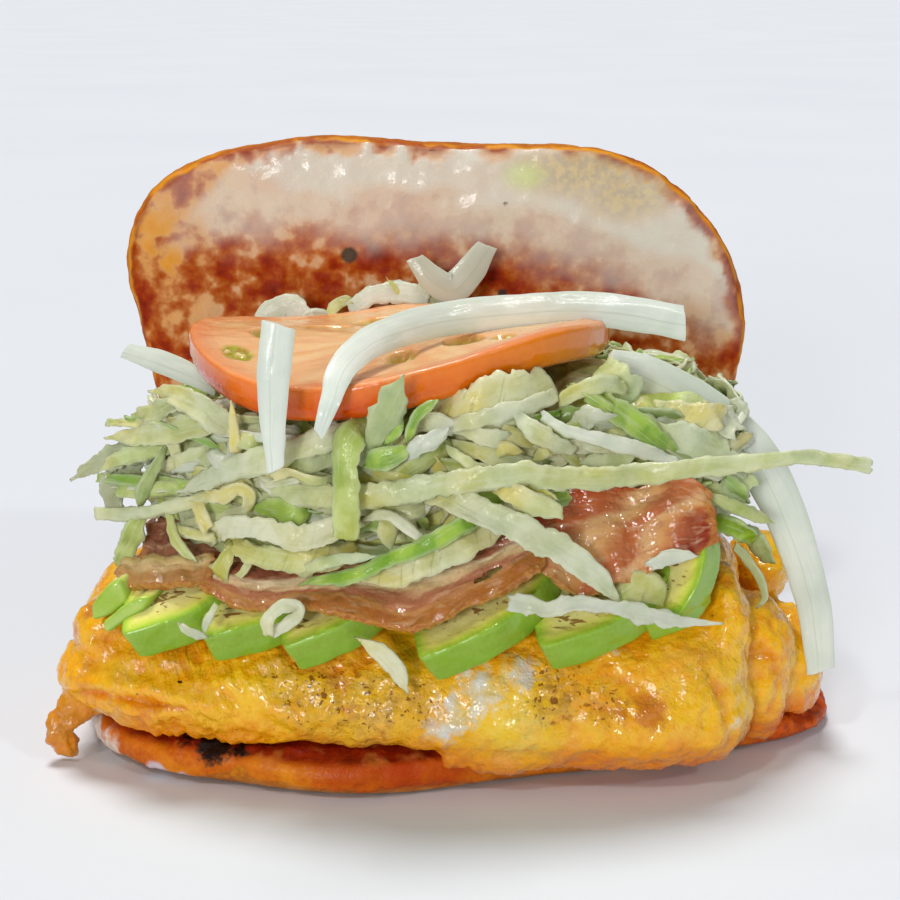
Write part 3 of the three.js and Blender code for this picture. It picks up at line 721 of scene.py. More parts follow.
omeletteLook = {
    "voxel": 0.68,
    "swell": 1.0,
    "lumps": 0.6,
    "grain": 0.26,
    "creases": [
        # path, depth of the groove, width, rise of the side above it
        ([(-83, -26, 15.5), (-74, -37, 17.4), (-64, -42, 18.2), (-56, -45, 16.6), (-47, -46.5, 13.2),
          (-38, -46, 10.4)], 2.3, 1.3, 1.6),
        ([(-78, -28, 33), (-72, -34, 28), (-67, -38, 26), (-63, -40, 22)], 0.5, 2.5, 0.3),
        ([(-50, -43.8, 22), (-43.7, -46.8, 19), (-37.8, -47.5, 15), (-33, -46.5, 11)], 0.8, 1.5, 1.5),
        ([(-20, -49, 11.4), (-2, -50, 10), (17, -50, 9.6), (37, -50, 9.6), (46, -47, 8)], 1.2, 1.0, 0.5),
        ([(10, -51.5, 15), (16, -50.5, 17), (20.5, -49.5, 21), (21, -48, 25)], 0.5, 1.2, 0.7),
        ([(45, -46, 33), (48, -45, 24), (50.5, -45, 15), (52, -42, 8)], 0.9, 1.5, 0.3),
        ([(60, -30, 26), (62, -30, 18), (61, -30, 10)], 0.8, 1.5, 0.3),
        ([(-79, -30, 27), (-70, -37, 29), (-62, -41, 25)], 0.9, 1.8, 0.6),
    ],
    "browned": [(-27.2, -47.3, 22.6, 6.5, 0.9), (-23.3, -49.5, 19, 6, 1.0), (-17.5, -48.4, 21, 6, 0.9),
                (-33, -46.5, 22.3, 5, 0.7), (-36, -44.4, 25.7, 5, 0.7), (-9.8, -48.4, 21, 5, 0.7),
                (17.2, -48.6, 23.1, 5.5, 1.0), (14.9, -49.7, 20.5, 4, 0.9), (25.9, -49.1, 20.2, 4.5, 0.7),
                (-33, -48.4, 16.9, 5, 0.5), (12, -51.5, 17, 4, 0.4), (-60, -36, 29, 6, 0.3),
                (47, -46, 27, 6, 0.3), (20, -48, 27, 4, 0.8)],
    "eggWhite": [(-3, -49.7, 18.5, 5.0, 1.0), (1.8, -48.7, 23.2, 5.5, 1.0), (9.5, -47.1, 26.3, 5.0, 0.9),
                 (-5.9, -50.4, 15.2, 4.0, 1.0), (54.2, -46, 14.8, 3.6, 0.8), (52.5, -42.6, 6, 3.0, 0.7),
                 (27.2, -43.7, 29.1, 3.5, 0.5), (-1, -46, 27, 4, 0.8)],
    "pale": [(9.5, -51.4, 16.1, 10, 0.9), (-20, -48, 20, 13, 0.6), (54, -42, 22, 9, 0.5),
             (40, -48, 22, 9, 0.3), (-30, -46, 24, 8, 0.4)],
    "tongue": [(-8, -50, 7, 8, 1.0), (1, -50, 4, 7, 1.0), (9, -50, 5, 6, 0.8)],
    "flap": [(-84, -29, 8, 7, 1.0), (-81, -29, 2, 5, 1.0), (-78, -27, 12.5, 4, 0.8)],
    "scorched": [(34.6, -49.3, 19.3, 4.0, 1.0), (-79, -33, 17, 9, 0.42), (-70, -39, 14, 7, 0.36),
                 (-84, -29, 6, 6, 0.3), (-82, -31, 28, 4, 0.8), (-70, -34, 33, 5, 0.6),
                 (-76.5, -29.3, 35, 5, 0.7), (30, -49, 18.5, 3, 0.7), (-18, -50, 12, 5, 0.5),
                 (57, -36, 35, 3, 0.3)],
    "charred": [(-74.6, -35.3, 29.8, 1.1, 1.0), (-70.8, -34.5, 28, 0.8, 0.9), (-71.5, -35.5, 27, 0.7, 0.9),
                (-57.1, -41.6, 22.3, 0.55, 1.0), (-65.4, -38.9, 22.5, 0.4, 1.0), (12.2, -52, 14, 0.8, 1.0)],
}


def buildOmelette():
    look = omeletteLook
    piece = refined("omelette", "foldedEgg", look["voxel"], 5, 1)
    places, normals = placesOf(piece), normalsOf(piece)
    shift = look["swell"] * roughness(places, 13, 1, 3)
    shift += look["lumps"] * roughness(places, 4.6, 2, 4)
    shift += look["grain"] * roughness(places, 1.9, 3, 2)
    for path, depth, width, rise in look["creases"]:
        distance, share, nearest = nearPath(places, path)
        ends = fade(0, 0.08, share) * (1 - fade(0.92, 1, share))
        above = places[:, 2] - nearest[:, 2] + 0.4 * softNoise(places, 2.5, 6)
        shift -= depth * ends * np.exp(-(distance / width) ** 2)
        shift += rise * ends * np.exp(-((above - 2.6) / 2.4) ** 2) * np.exp(-(distance / 6) ** 2)
    browned = spots(places, look["browned"])
    pores = (0.42 - np.clip(cells(places, 2.1, 7)[0], 0, 0.42)) * (0.3 + 1.6 * browned)
    pores *= fade(0.0, 0.5, softNoise(places, 5, 8) + 0.35)
    shift -= 1.1 * pores
    # the flap at the left end is thin and ragged
    flap, tongue = spots(places, look["flap"]), spots(places, look["tongue"])
    thin = np.maximum(flap, tongue * fade(9.5, 7.5, places[:, 2]))
    shift += thin * (1.0 + 0.8 * roughness(places, 3, 14, 3))
    shift -= flap * (1.3 - 0.9 * roughness(places, 2, 15, 3))
    # fine wrinkles that run down the slope on the left
    wrinkled = np.exp(-((places[:, 0] + 55) / 15) ** 2) * fade(26, 36, -places[:, 1])
    run = places[:, 0] * 0.85 + places[:, 2] * 0.5 + 2.2 * softNoise(places, 8, 9)
    shift += 0.3 * wrinkled * np.sin(run * 2.4)
    places = places + normals * shift[:, None]
    places[:, 2] = np.maximum(places[:, 2], 0.1)
    movePlaces(piece, places)
    # the lower parts, which the material paints deeper orange: partly the egg's browner colour there, partly
    # painted shade
    low = 1 - fade(5, 17, places[:, 2] + 3 * softNoise(places, 9, 11))
    scorched = np.maximum(spots(places, look["scorched"]), 0.55 * spots(places, look["tongue"]))
    # the material paints the recesses deeper orange, by how far the surface was pushed in: painted shade
    paint(piece, browned=np.clip(browned, 0, 1), wrinkled=wrinkled, scorched=scorched, flap=flap,
          low=np.maximum(low, flap), hollow=np.clip(-shift, 0, 1.5))
    paintSpots(piece, places, look, "eggWhite", "pale", "charred")
    return piece


def eggMaterial():
    material, shader = newMaterial("friedEgg", Coat_Weight=0.85, Coat_Roughness=0.08, Subsurface_Weight=0.06,
                                   Subsurface_Radius=(0.003, 0.002, 0.0003), Subsurface_Scale=0.5)
    place = millimetres()
    broad = mottled(place, 0.05, 0.33, 0.67)
    patch = mottled(place, 0.16, 0.33, 0.68, 0.3)
    small = mottled(place, 0.5, 0.32, 0.68)
    colour = blend(broad, "f4ac00", "fac008")
    colour = laid(colour, patch, 0.6, "f59200")
    colour = laid(colour, small, 0.4, "fcd22c")
    # deeper orange on the lower parts and the flap: partly the egg's browner colour, partly painted shade
    colour = laid(colour, painted("low"), 0.8, blend(patch, "f08400", "de5e00"))
    paleEgg = blend(patch, "f2cc24", "f6e06a")
    paleShare = times(painted("pale"), between(small, 0.0, 1.0, 0.6, 0.95))
    colour = blend(paleShare, colour, paleEgg)
    uneven = sway(small, 0.5)
    white = between(plus(painted("eggWhite"), uneven), 0.3, 0.9)
    colour = blend(white, colour, blend(patch, "dcdad2", "e2c266"))
    brown = times(painted("browned"), between(small, 0.0, 1.0, 0.2, 0.85))
    colour = blend(brown, colour, blend(patch, "c08424", "a0621a"))
    # craters, bent out of their round shape
    stirred = clouded(place, 0.8, 2.0).node.outputs["Color"]
    bent = moved("MULTIPLY_ADD", stirred, (2.4, 2.4, 2.4), place).outputs[0]
    crater = reckoned("MAXIMUM", specked(bent, 0.9, 0.28, 0.75), specked(bent, 0.42, 0.24, 0.55))
    crater = times(crater, between(painted("browned"), 0.1, 0.5))
    colour = laid(colour, crater, 0.85, blend(patch, "7c4004", "96500a"))
    scorch = between(plus(painted("scorched"), uneven), 0.2, 0.85)
    colour = laid(colour, scorch, 0.8, blend(small, "b4560e", "cc6c10"))
    # painted shade: deeper orange in the recesses of the creases and pores
    colour = blend(between(painted("hollow"), 0.15, 1.2, 0.0, 0.65), colour, "e07400")
    colour = laid(colour, painted("flap"), 0.8, blend(small, "b87408", "d89018"))
    colour = laid(colour, specked(place, 0.3, 0.1, 0.3), 0.85, "74230a")
    colour = blend(between(painted("charred"), 0.3, 0.5), colour, "1c0a06")
    gloss = between(small, 0.0, 1.0, 0.2, 0.34)
    # fine folds that run down the slope
    across = moved("DOT_PRODUCT", place, (0.85, -0.1, 0.5)).outputs["Value"]
    down = moved("DOT_PRODUCT", place, (-0.07, 0.0, 0.12)).outputs["Value"]
    folds = clouded(combined(across, down), 0.75, 2.0, 0.3)
    height = plus(skinned(place, 0.7, 1.8, 0.35), times(folds, times(painted("wrinkled"), 2.0)))
    dress(shader, place, colour, gloss, minus(height, times(crater, 0.6)), 0.55, 0.7)
    return material


finishPiece(buildOmelette(), eggMaterial(), "egg", "omelette")
print("omelette ready")


# Avocado

avocadoLook = {
    "voxel": 0.38,
    "lean": 28,
    "around": 96,
    "slices": [
        # lower left end of the cut face, length, width, rise, extra tilt in degrees and thickness
        ((-67.8, -44, 33.8), 25, 17, 15, 0, 8),
        ((-52, -47, 34.3), 25, 17, 12, 0, 8), ((-36.2, -50, 33.3), 25, 18, 20, 0, 8),
        ((-10.2, -52, 31.8), 30, 20, 22, 0, 8), ((12.8, -50.5, 33.6), 28, 19, 17, 0, 8),
        ((38, -46, 35.5), 21, 15, 60, 36, 7), ((33, -46.5, 36.5), 14, 9, 20, 0, 6),
    ],
    # the two end slices: outline in pixels of the photo, depth, and how far they go back
    "slivers": [
        ([(119, 579), (106, 586), (97, 597), (90, 608), (92, 622), (110, 616), (128, 603), (124, 586)], -36.5,
         (3, 8, 1.5)),
        ([(136, 598), (117, 609), (100, 624), (106, 635), (126, 622), (145, 610), (150, 598)], -41.5,
         (4, 8, 1.5)),
    ],
    "outline": [
        (-1.0, -0.2), (-1.0, -0.42), (-0.98, -0.5), (-0.9, -0.535), (-0.5, -0.53), (0, -0.49), (0.4, -0.38),
        (0.75, -0.19), (1.0, 0.04), (1.02, 0.1), (0.96, 0.2), (0.7, 0.34), (0.35, 0.37), (0, 0.35),
        (-0.35, 0.37), (-0.7, 0.42), (-0.9, 0.4), (-0.98, 0.32), (-1, 0.1),
    ],
}


def ringThrough(outline, count):
    # evenly spaced points on a smooth closed line, its first point repeated at the end
    points = [(a, b, 0) for a, b in outline]
    wrapped = points[-3:] + points + points[:4]
    ends = 400  # steps of the fine line that hold the first point, at its start and at its end
    fine = smoothPath(wrapped, 40 * len(wrapped))[0]
    apart = np.linalg.norm(fine - np.array(points[0]), axis=1)
    start, stop = np.argmin(apart[:ends]), np.argmin(apart[-ends:])
    return pickAlong(fine[:, :2], np.linspace(start, len(fine) - ends + stop, count + 1))


def buildAvocado(number, values):
    look = avocadoLook
    heel, length, width, rise, upright, thick = values
    lean, climb = math.radians(look["lean"] + upright), math.radians(rise)
    along = np.array([math.cos(climb), 0, math.sin(climb)])
    inward = np.array([0, math.cos(lean), math.sin(lean)])
    inward = unit(inward - inward.dot(along) * along)
    out = np.cross(along, inward)
    heart = np.array(heel) + along * length / 2 + inward * 0.45 * width
    piece = newPiece(f"avocadoSlice{number}", bpy.ops.mesh.primitive_uv_sphere_add, segments=look["around"],
                     ring_count=40, radius=1)
    ball = placesOf(piece) * mm
    bearing = np.arctan2(ball[:, 1], ball[:, 0])
    tilt = np.degrees(np.arccos(np.clip(ball[:, 2], -1, 1)))
    # from the top pole over the cut face, round its edge, down the rind side and under
    turns = [0, 62, 66, 112, 117, 180]
    size = np.interp(tilt, turns, [0, 0.985, 1.0, 0.96, 0.93, 0])
    level = np.interp(tilt, turns, [0, 0, -0.04, -0.96, -1, -1])
    turn = (bearing / (2 * math.pi)) % 1 * look["around"]
    a, b = pickAlong(ringThrough(look["outline"], look["around"]), turn).T * size
    sag = 0.35 * np.exp(-((b - 0.1) / 0.25) ** 2) * (level > -0.5)
    movePlaces(piece, heart + np.outer(a * length / 2, along) + np.outer(b * width, inward)
               + np.outer(level * thick - sag, out))
    with everythingPicked(piece):
        bpy.ops.mesh.normals_make_consistent(inside=False)
    remeshed(piece, look["voxel"], 1)
    places, normals = placesOf(piece), normalsOf(piece)
    flat = fade(0.6, 0.9, np.abs(normals @ out))
    shift = 0.3 * roughness(places, 6, number, 2)
    # faint knife marks across the cut faces
    a = (places - heart) @ along / (0.5 * length)
    b = (places - heart) @ inward / width
    shift += 0.05 * flat * np.sin(0.9 * (a * length * 0.3 + b * width) + 3 * softNoise(places, 4, number))
    shift -= 2 * flat * (0.2 - np.clip(cells(places, 7, number)[0], 0, 0.2))
    movePlaces(piece, places + normals * shift[:, None])
    # how near the cut face's rind edge: its front and its two ends
    rim = np.array(ringThrough(look["outline"], 64)[:-1])
    rim = rim[rim[:, 1] < 0.15]
    gap = np.min([np.hypot((a - ra) * length / 2, (b - rb) * width) for ra, rb in rim], axis=0)
    # under marks the slice's lower part, which the material paints darker green: painted shade
    paint(piece, rind=np.clip(1 - gap / 5.0, 0, 1), cutFace=flat,
          heartward=fade(1.8, 4.2, gap + 1.2 * softNoise(places, 3, 31)),
          under=fade(-0.35, -1.0, (places - heart) @ out / thick))
    return piece


def avocadoMaterial():
    material, shader = newMaterial("avocadoFlesh", Coat_Weight=0.9, Coat_Roughness=0.1, Subsurface_Weight=0.1,
                                   Subsurface_Radius=(0.002, 0.003, 0.0008), Subsurface_Scale=0.5)
    place = millimetres()
    soft = mottled(place, 0.13, 0.32, 0.68)
    fine = mottled(place, 0.9, 0.3, 0.7, 0.1)
    face = ramp(painted("rind"), (0.0, "fff4a0"), (0.4, "faee84"), (0.65, "e0ea5e"), (0.86, "aad038"),
                (1.0, "7cac14"))
    side = blend(soft, "a2c23c", "bed672")
    side = blend(between(painted("rind"), 0.5, 1.0, 0.0, 0.8), side, "7eac16")
    # painted shade: darker green on the lower part of each slice and on the undersides
    side = laid(side, painted("under"), 0.75, "7cac18")
    green = blend(painted("cutFace"), side, face)
    green = laid(green, soft, 0.15, "8cb828")
    green = laid(green, fine, 0.07, "d2e07a")
    # short brown threads in the pale flesh
    warped = turnedPlace(place, Rotation=(0, math.radians(-20), 0), Scale=(0.3, 0.6, 1.3))
    strokes = clouded(warped, 0.75, 2.0, 0.8)
    flecks = times(between(strokes, 0.565, 0.63), times(painted("heartward"), painted("cutFace")))
    green = laid(green, flecks, 0.85, "845010")
    gloss = between(soft, 0.0, 1.0, 0.24, 0.36)
    dress(shader, place, green, gloss, skinned(place, 0.35, 1.4, 0.2), 0.22, 0.35)
    return material


def buildSliver(number, values):
    # an end slice that shows only its side: a flat outline taken back and down, with crisp edges
    outline, depth, back = values
    places = np.array([fromPhoto(px, py, depth) for px, py in outline])
    piece = newPiece(f"avocadoSlice{number}", bpy.ops.mesh.primitive_circle_add, vertices=len(outline),
                     radius=0.01, fill_type="NGON")
    movePlaces(piece, places)
    with everythingPicked(piece):
        bpy.ops.mesh.extrude_region_move(TRANSFORM_OT_translate={"value": Vector(back) * mm})
        bpy.ops.mesh.select_all(action="SELECT")
        bpy.ops.mesh.normals_make_consistent(inside=False)
        bpy.ops.mesh.bevel(offset=0.7 * mm, segments=3)
    remeshed(piece, avocadoLook["voxel"], 2)
    at, normals = placesOf(piece), normalsOf(piece)
    movePlaces(piece, at + normals * (0.35 * roughness(at, 6, number, 2))[:, None])
    away = nearPath(at, [*places, places[0]])[0]
    # under marks the downward faces, which the material paints darker green: painted shade
    paint(piece, rind=np.clip(1 - away / 2.2, 0, 1), heartward=0, cutFace=0.6 * fade(0.3, 0.9, normals[:, 2]),
          under=fade(0.0, -0.8, normals[:, 2]))
    return piece


avocadoFlesh = avocadoMaterial()
for i, values in enumerate(avocadoLook["slivers"]):
    finishPiece(buildSliver(i + 1, values), avocadoFlesh, "avocado", f"avocado_{i + 1}")
for i, values in enumerate(avocadoLook["slices"]):
    finishPiece(buildAvocado(i + 3, values), avocadoFlesh, "avocado", f"avocado_{i + 3}")
print("avocado ready")


# Bacon

baconLook = {
    "grain": 0.5,  # length of a grid square
    "thickness": 1.7,
    "rashers": [
        # low, brow and back edges, ripple, then tints by millimetres up from the low edge
        {
            "edges": ([(-66, -30, 44), (-60, -35, 43), (-52, -37, 45), (-45, -38, 47)],
                      [(-64, -26, 50), (-58, -28, 52.5), (-52, -30, 53.5), (-45, -33, 53.5)],
                      [(-60, -14, 42), (-54, -14, 43), (-48, -16, 44), (-42, -18, 45)]),
            "ripple": 0.9,
            # this rasher lies at the back under the lettuce: its darker tints are partly its own colour and
            # partly painted shade
            "tints": [(0, "783c24"), (2, "743e2a"), (5, "885a3e"), (7, "6c3424"), (10, "7c4430"),
                      (14, "926644")],
        },
        {
            "edges": ([(-70.5, -32, 41), (-66, -36, 39.5), (-58, -40, 41), (-50, -42, 43.5)],
                      [(-69, -29, 43), (-64, -32, 44.5), (-58, -35, 45.5), (-50, -38, 46.5)],
                      [(-62, -22, 41), (-58, -22, 43), (-54, -24, 44), (-48, -26, 45)]),
            "ripple": 0.8,
            "tints": [(0, "b88648"), (1.2, "ccaa6c"), (3, "d0ae74"), (5, "dcc488"), (7, "ceb26c"),
                      (10, "caa86c")],
            "lean": 0.15,
        },
        {
            "edges": ([(-52, -43, 42), (-45, -46, 39), (-33, -50, 40), (-19, -53, 38.5), (-9, -54, 37.5),
                       (0, -53, 41.5), (13, -51, 47.5)],
                      [(-50, -37, 45), (-41, -40, 46.5), (-27, -43, 46.5), (-14, -44.5, 46.5), (-5, -45, 49),
                       (3, -45, 52), (16, -43, 55)],
                      [(-46, -24, 43), (-38, -23, 43.5), (-26, -23, 43.5), (-14, -23, 44), (-4, -24, 45),
                       (4, -26, 46), (16, -28, 47.5)]),
            "ripple": 1.3,
            "tints": [(0, "b8702c"), (1.2, "cc9050"), (2.2, "bc7450"), (3.1, "be7a5a"), (3.9, "e4c490"),
                      (6.3, "f2deb6"), (7.6, "a8624a"), (11, "92503c"), (14, "c4946c")],
            "lean": 0.06,
            "slit": (0.83, 5.2, 2.6, 0.9),  # share of its length, height over the edge, half sizes
        },
        {
            "edges": ([(12, -48, 47), (19, -50, 43.5), (27, -50, 44), (36, -47.5, 47.5), (43, -45, 50),
                       (47.5, -42, 51)],
                      [(11, -40, 61), (18, -40, 63.5), (26, -40, 62), (33, -39.5, 60.5), (40, -39, 63),
                       (46, -38, 59)],
                      [(14, -30, 47), (22, -28, 47), (32, -27, 47.5), (40, -27, 48), (45, -28, 48),
                       (47, -29, 48)]),
            "ripple": 0.9,
            "tints": [(0, "8a2a0c"), (3, "ac4a1c"), (6, "d89c5c"), (9, "e0b07c"), (11, "c06c38"),
                      (14, "bc6230"), (17, "d8a264"), (20, "dcac74"),
                      (23, "b85a28"), (27, "ae461a"), (31, "a03410"), (36, "902a0a"), (42, "82200a")],
            "lean": 0.8,
            "offset": 22,  # how far the bands are moved up before they climb
            "crispEnd": 0.9,
        },
    ],
}


def buildBacon(number, values):
    look = baconLook
    rails = [smoothPath(edge, pathSteps)[0] for edge in values["edges"]]
    length = smoothPath(values["edges"][1], pathSteps)[1]
    reach = smoothPath([rail[pathSteps // 2] for rail in rails], 60)[1]
    piece = newPiece(f"baconRasher{number}", bpy.ops.mesh.primitive_grid_add, size=1,
                     x_subdivisions=int(length / look["grain"]), y_subdivisions=int(reach / look["grain"]))
    flat = placesOf(piece) * mm
    s, t = flat[:, 0] + 0.5, flat[:, 1] + 0.5
    # ragged ends
    at = [(float(q) * reach / 3, number * 3.0, 0.5) for q in t]
    ragged = 0.7 * np.array([noise.fractal(p, 1.0, 2.0, 3) for p in at])
    s = np.clip(s, 0, 1) + (ragged / length) * (1 - 2 * s) * 1.5
    low, brow, back = [pickAlong(rail, np.clip(s, 0, 1) * (pathSteps - 1)) for rail in rails]
    # a smooth bend through the three edges
    q = t[:, None]
    side, far = np.where(q < 0.5, low, back), np.abs(2 * q - 1)
    bend, straight = brow + (side - brow) * far ** 2, brow + (side - brow) * far
    places = 0.55 * bend + 0.45 * straight
    over, along = t * reach, s * length
    strip = columns(along, over, number * 9.0)
    wave = values["ripple"] * np.sin(2 * math.pi * (3.2 * s + 0.4 * t)) * (1 - 0.6 * t)
    places[:, 1] -= 0.7 * wave
    places[:, 2] += 0.6 * wave
    edge = strip * np.array([1, 0, 1])
    places[:, 2] += np.exp(-over / 3.5) * (0.9 * softNoise(edge, 4.5, 1) + 0.45 * softNoise(edge, 1.6, 2))
    puff = 0.55 * roughness(strip * np.array([0.6, 1, 1]), 5, 3, 3) + 0.16 * roughness(strip, 1.4, 4, 2)
    movePlaces(piece, places)
    movePlaces(piece, places + normalsOf(piece) * puff[:, None])
    crisp = np.exp(-over / 0.9) + np.exp(-along / 1.3) + np.exp(-(length - along) / 1.3)
    if "crispEnd" in values:
        crisp += fade(values["crispEnd"], 1, s)
    paint(piece, along=along, over=over, rim=np.clip(crisp, 0, 1))
    if "slit" in values:
        share, height, halfLong, halfHigh = values["slit"]
        beside = along - share * length
        inside = np.hypot(beside / halfLong, (over - height - 0.25 * beside) / halfHigh) < 1
        with everythingPicked(piece):
            bpy.ops.mesh.select_all(action="DESELECT")
        piece.data.vertices.foreach_set("select", inside)
        bpy.ops.object.mode_set(mode="EDIT")
        bpy.ops.mesh.delete(type="VERT")
        bpy.ops.object.mode_set(mode="OBJECT")
    thickened(piece, look["thickness"], 0.4, 2)
    return piece


def baconMaterial(number, values):
    material, shader = newMaterial(f"bacon{number}", Coat_Weight=0.7, Coat_Roughness=0.1,
                                   Subsurface_Weight=0.08,
                                   Subsurface_Radius=(0.003, 0.001, 0.0006), Subsurface_Scale=0.5)
    place = millimetres()
    strip = combined(times(painted("along"), 0.22), painted("over"), number * 3.7)
    drift = clouded(strip, 0.2, 1.5)
    grain = clouded(strip, 0.8, 2.0, 0.3)
    patch = mottled(place, 0.3, 0.32, 0.68)
    small = mottled(place, 0.9, 0.3, 0.7, 0.1)
    # the fat runs in bands that climb along the rasher
    climb = reckoned("MULTIPLY_ADD", painted("along"), -values.get("lean", 0), values.get("offset", 0))
    shifted = plus(plus(painted("over"), climb), sway(drift, 9.0))
    top = values["tints"][-1][0] + 2.0
    colour = ramp(reckoned("DIVIDE", shifted, top),
                  *[(height / top, code) for height, code in values["tints"]])
    colour = blend(between(grain, 0.5, 0.72, 0.0, 0.4), colour, "a85a40")
    colour = blend(between(grain, 0.45, 0.3, 0.0, 0.35), colour, "e2c29c")
    colour = laid(colour, patch, 0.22, "d89a70")
    crisp = blend(small, "a85c24", "d09448")
    edge = between(plus(painted("rim"), sway(patch, 0.5)), 0.3, 1.0)
    colour = laid(colour, edge, 0.75, crisp)
    colour = laid(colour, specked(place, 0.8, 0.18, 0.3), 0.45, "84300c")
    gloss = between(small, 0.0, 1.0, 0.2, 0.36)
    dress(shader, place, colour, gloss, skinned(place, 0.4, 1.0, 0.4), 0.55, 0.42)
    return material


for i, values in enumerate(baconLook["rashers"]):
    finishPiece(buildBacon(i + 1, values), baconMaterial(i + 1, values), "bacon", f"bacon_{i + 1}")
print("bacon ready")


# Tomato

tomatoLook = {
    "voxel": 0.55,
    "middle": (-15.0, -10.5, 75.5),
    "radius": 43,
    "depth": 40,
    "thickness": 7.6,
    "low": -18,  # where the slice lies lowest and where it is high, along X from its middle
    "high": 38,
    "rise": 9.4,
    "curl": 0.008,  # how fast it rises again at its left end
    "droop": (26, 0.012),  # where it starts to droop at the right, and how fast
    "slope": 0.0105,
    "settled": 4.2,  # how much lower the far right edge lies, hidden by the onion from the front
    "seedReach": 41,
    "pockets": [
        # bearing in degrees, distance from the middle, half length round, half width outwards, depth
        (-86, 23, 3.2, 6.4, 2.6), (-58, 25, 3.6, 5.4, 2.4), (-52, 33, 2.2, 2.8, 1), (2, 16, 3.6, 5.5, 3),
        (24, 25, 4, 3.4, 2), (-152, 34, 6, 3, 0.4), (60, 21, 7, 4.5, 2), (98, 22, 7, 4.5, 2),
        (137, 21, 7, 4.5, 2), (178, 26, 6, 3, 1.4),
    ],
}


def buildTomato():
    look = tomatoLook
    piece = refined("tomato", "tomatoSlice", look["voxel"], 2, 1)
    places, normals = placesOf(piece), normalsOf(piece)
    away = places - np.array(look["middle"])
    x, y = away[:, 0], away[:, 1]
    turned = np.arctan2(y / look["depth"], x / look["radius"])
    bearing = np.degrees(turned)
    lobes = 1 + 0.018 * np.sin(3 * turned + 1) + 0.012 * np.sin(5 * turned)
    share = np.hypot(x / look["radius"], y / look["depth"]) / lobes

    def bend(x):
        climb = look["rise"] * fade(look["low"], look["high"], x)
        climb += look["curl"] * np.maximum(0, look["low"] - x) ** 2
        start, rate = look["droop"]
        return climb - rate * np.maximum(0, x - start) ** 2

    # the solid's faces run straight from their middle to the rim
    middleBend, toRim = bend(np.zeros(1)), np.clip(share / 0.92, 0.001, 1)
    rise = middleBend + (bend(x / toRim) - middleBend) * toRim
    height = (away[:, 2] - rise - look["slope"] * y) / look["thickness"]
    # the knife left a crisp edge between the face and the skin
    out, up = (share - 0.9) / 0.1, (height - 0.4) / 0.6
    corner = (out > 0) & (up > 0)
    sharpen = np.where(corner, np.clip(1 / np.maximum(np.maximum(out, up), 0.3), 1, 1.3), 1)
    newShare = np.where(corner, 0.9 + 0.1 * out * sharpen, share)
    newHeight = np.where(corner, 0.4 + 0.6 * up * sharpen, height)
    places[:, :2] = np.array(look["middle"][:2]) + away[:, :2] * (newShare / np.maximum(share, 0.01))[:, None]
    places[:, 2] += (newHeight - height) * look["thickness"]
    wall = 0.02 * softNoise(places, 6, 9)
    flat = np.maximum(fade(0.91, 0.96, newHeight + wall), fade(0.12, 0.06, newHeight + wall))
    flat *= fade(0.2, 0.6, np.abs(normals[:, 2]))
    share = newShare
    pocket, sunk = np.zeros(len(places)), np.zeros(len(places))
    for middle, out, halfRound, halfOut, deep in look["pockets"]:
        turn = (bearing - middle + 180) % 360 - 180
        outward = share * look["seedReach"]
        reach = np.hypot(np.radians(turn) * outward / halfRound, (outward - out) / halfOut)
        reach += 0.15 * softNoise(places, 3, 3)
        inside = 1 - fade(0.75, 1.0, reach)
        pocket = np.maximum(pocket, inside)
        sunk = np.maximum(sunk, inside * deep)
    seeds = pocket * (1 - fade(0.2, 0.34, cells(columns(x, y, 0), 3.0, 2)[0])) * flat
    shift = -flat * fade(0.3, 0.8, normals[:, 2]) * (sunk - 0.7 * seeds)
    shift += 0.08 * roughness(places, 3, 1, 3) * flat + 0.2 * roughness(places, 14, 2, 2)
    places[:, 2] -= look["settled"] * fade(2, 34, y) * fade(-6, 24, x)
    movePlaces(piece, places + normals * shift[:, None])
    rays = 3 * columns(3 * np.cos(np.radians(bearing)), 3 * np.sin(np.radians(bearing)), share * 0.6)
    paint(piece, flat=flat, high=np.clip(newHeight, 0, 1), pocket=pocket * flat, seeds=seeds,
          share=np.clip(share, 0, 1.1), rightward=fade(-10, 40, x),
          rays=0.5 + 0.5 * np.clip(0.8 * roughness(rays, 1.0, 5, 2), -1, 1))
    return piece


def tomatoMaterial():
    material, shader = newMaterial("tomatoFlesh", Coat_Weight=0.6, Coat_Roughness=0.07,
                                   Subsurface_Weight=0.15,
                                   Subsurface_Radius=(0.005, 0.0012, 0.0003), Subsurface_Scale=0.5)
    place = millimetres()
    soft = mottled(place, 0.06, 0.33, 0.67)
    fine = mottled(place, 0.8, 0.35, 0.65, 0.1)
    skinTint = blend(soft, "d84200", "f06c00")
    # painted light: the upper part of the skin band is painted lighter orange
    skinTint = blend(between(painted("high"), 0.35, 0.95, 0.0, 0.7), skinTint, "f88a3a")
    skinTint = blend(painted("rightward"), skinTint, "ee8604")
    skinTint = laid(skinTint, fine, 0.08, "f6a050")
    flesh = blend(painted("rays"), "e89050", "f2cc92")
    flesh = blend(between(painted("share"), 0.82, 0.97, 0.0, 0.8), flesh, "ee8040")
    flesh = blend(between(painted("share"), 0.05, 0.35, 0.6, 0.0), flesh, "f2d48c")
    flesh = laid(flesh, soft, 0.35, "f3c98e")
    gel = blend(fine, "a87a1c", "a0a818")
    flesh = blend(painted("pocket"), flesh, gel)
    flesh = blend(painted("seeds"), flesh, "e6d08a")
    colour = blend(painted("flat"), skinTint, flesh)
    gloss = between(painted("flat"), 0.0, 1.0, 0.18, 0.32)
    dress(shader, place, colour, gloss, skinned(place, 0.4, 2.0, 0.3), 0.2, 0.6)
    return material


finishPiece(buildTomato(), tomatoMaterial(), "tomato", "tomato")
print("tomato ready")


# Onion

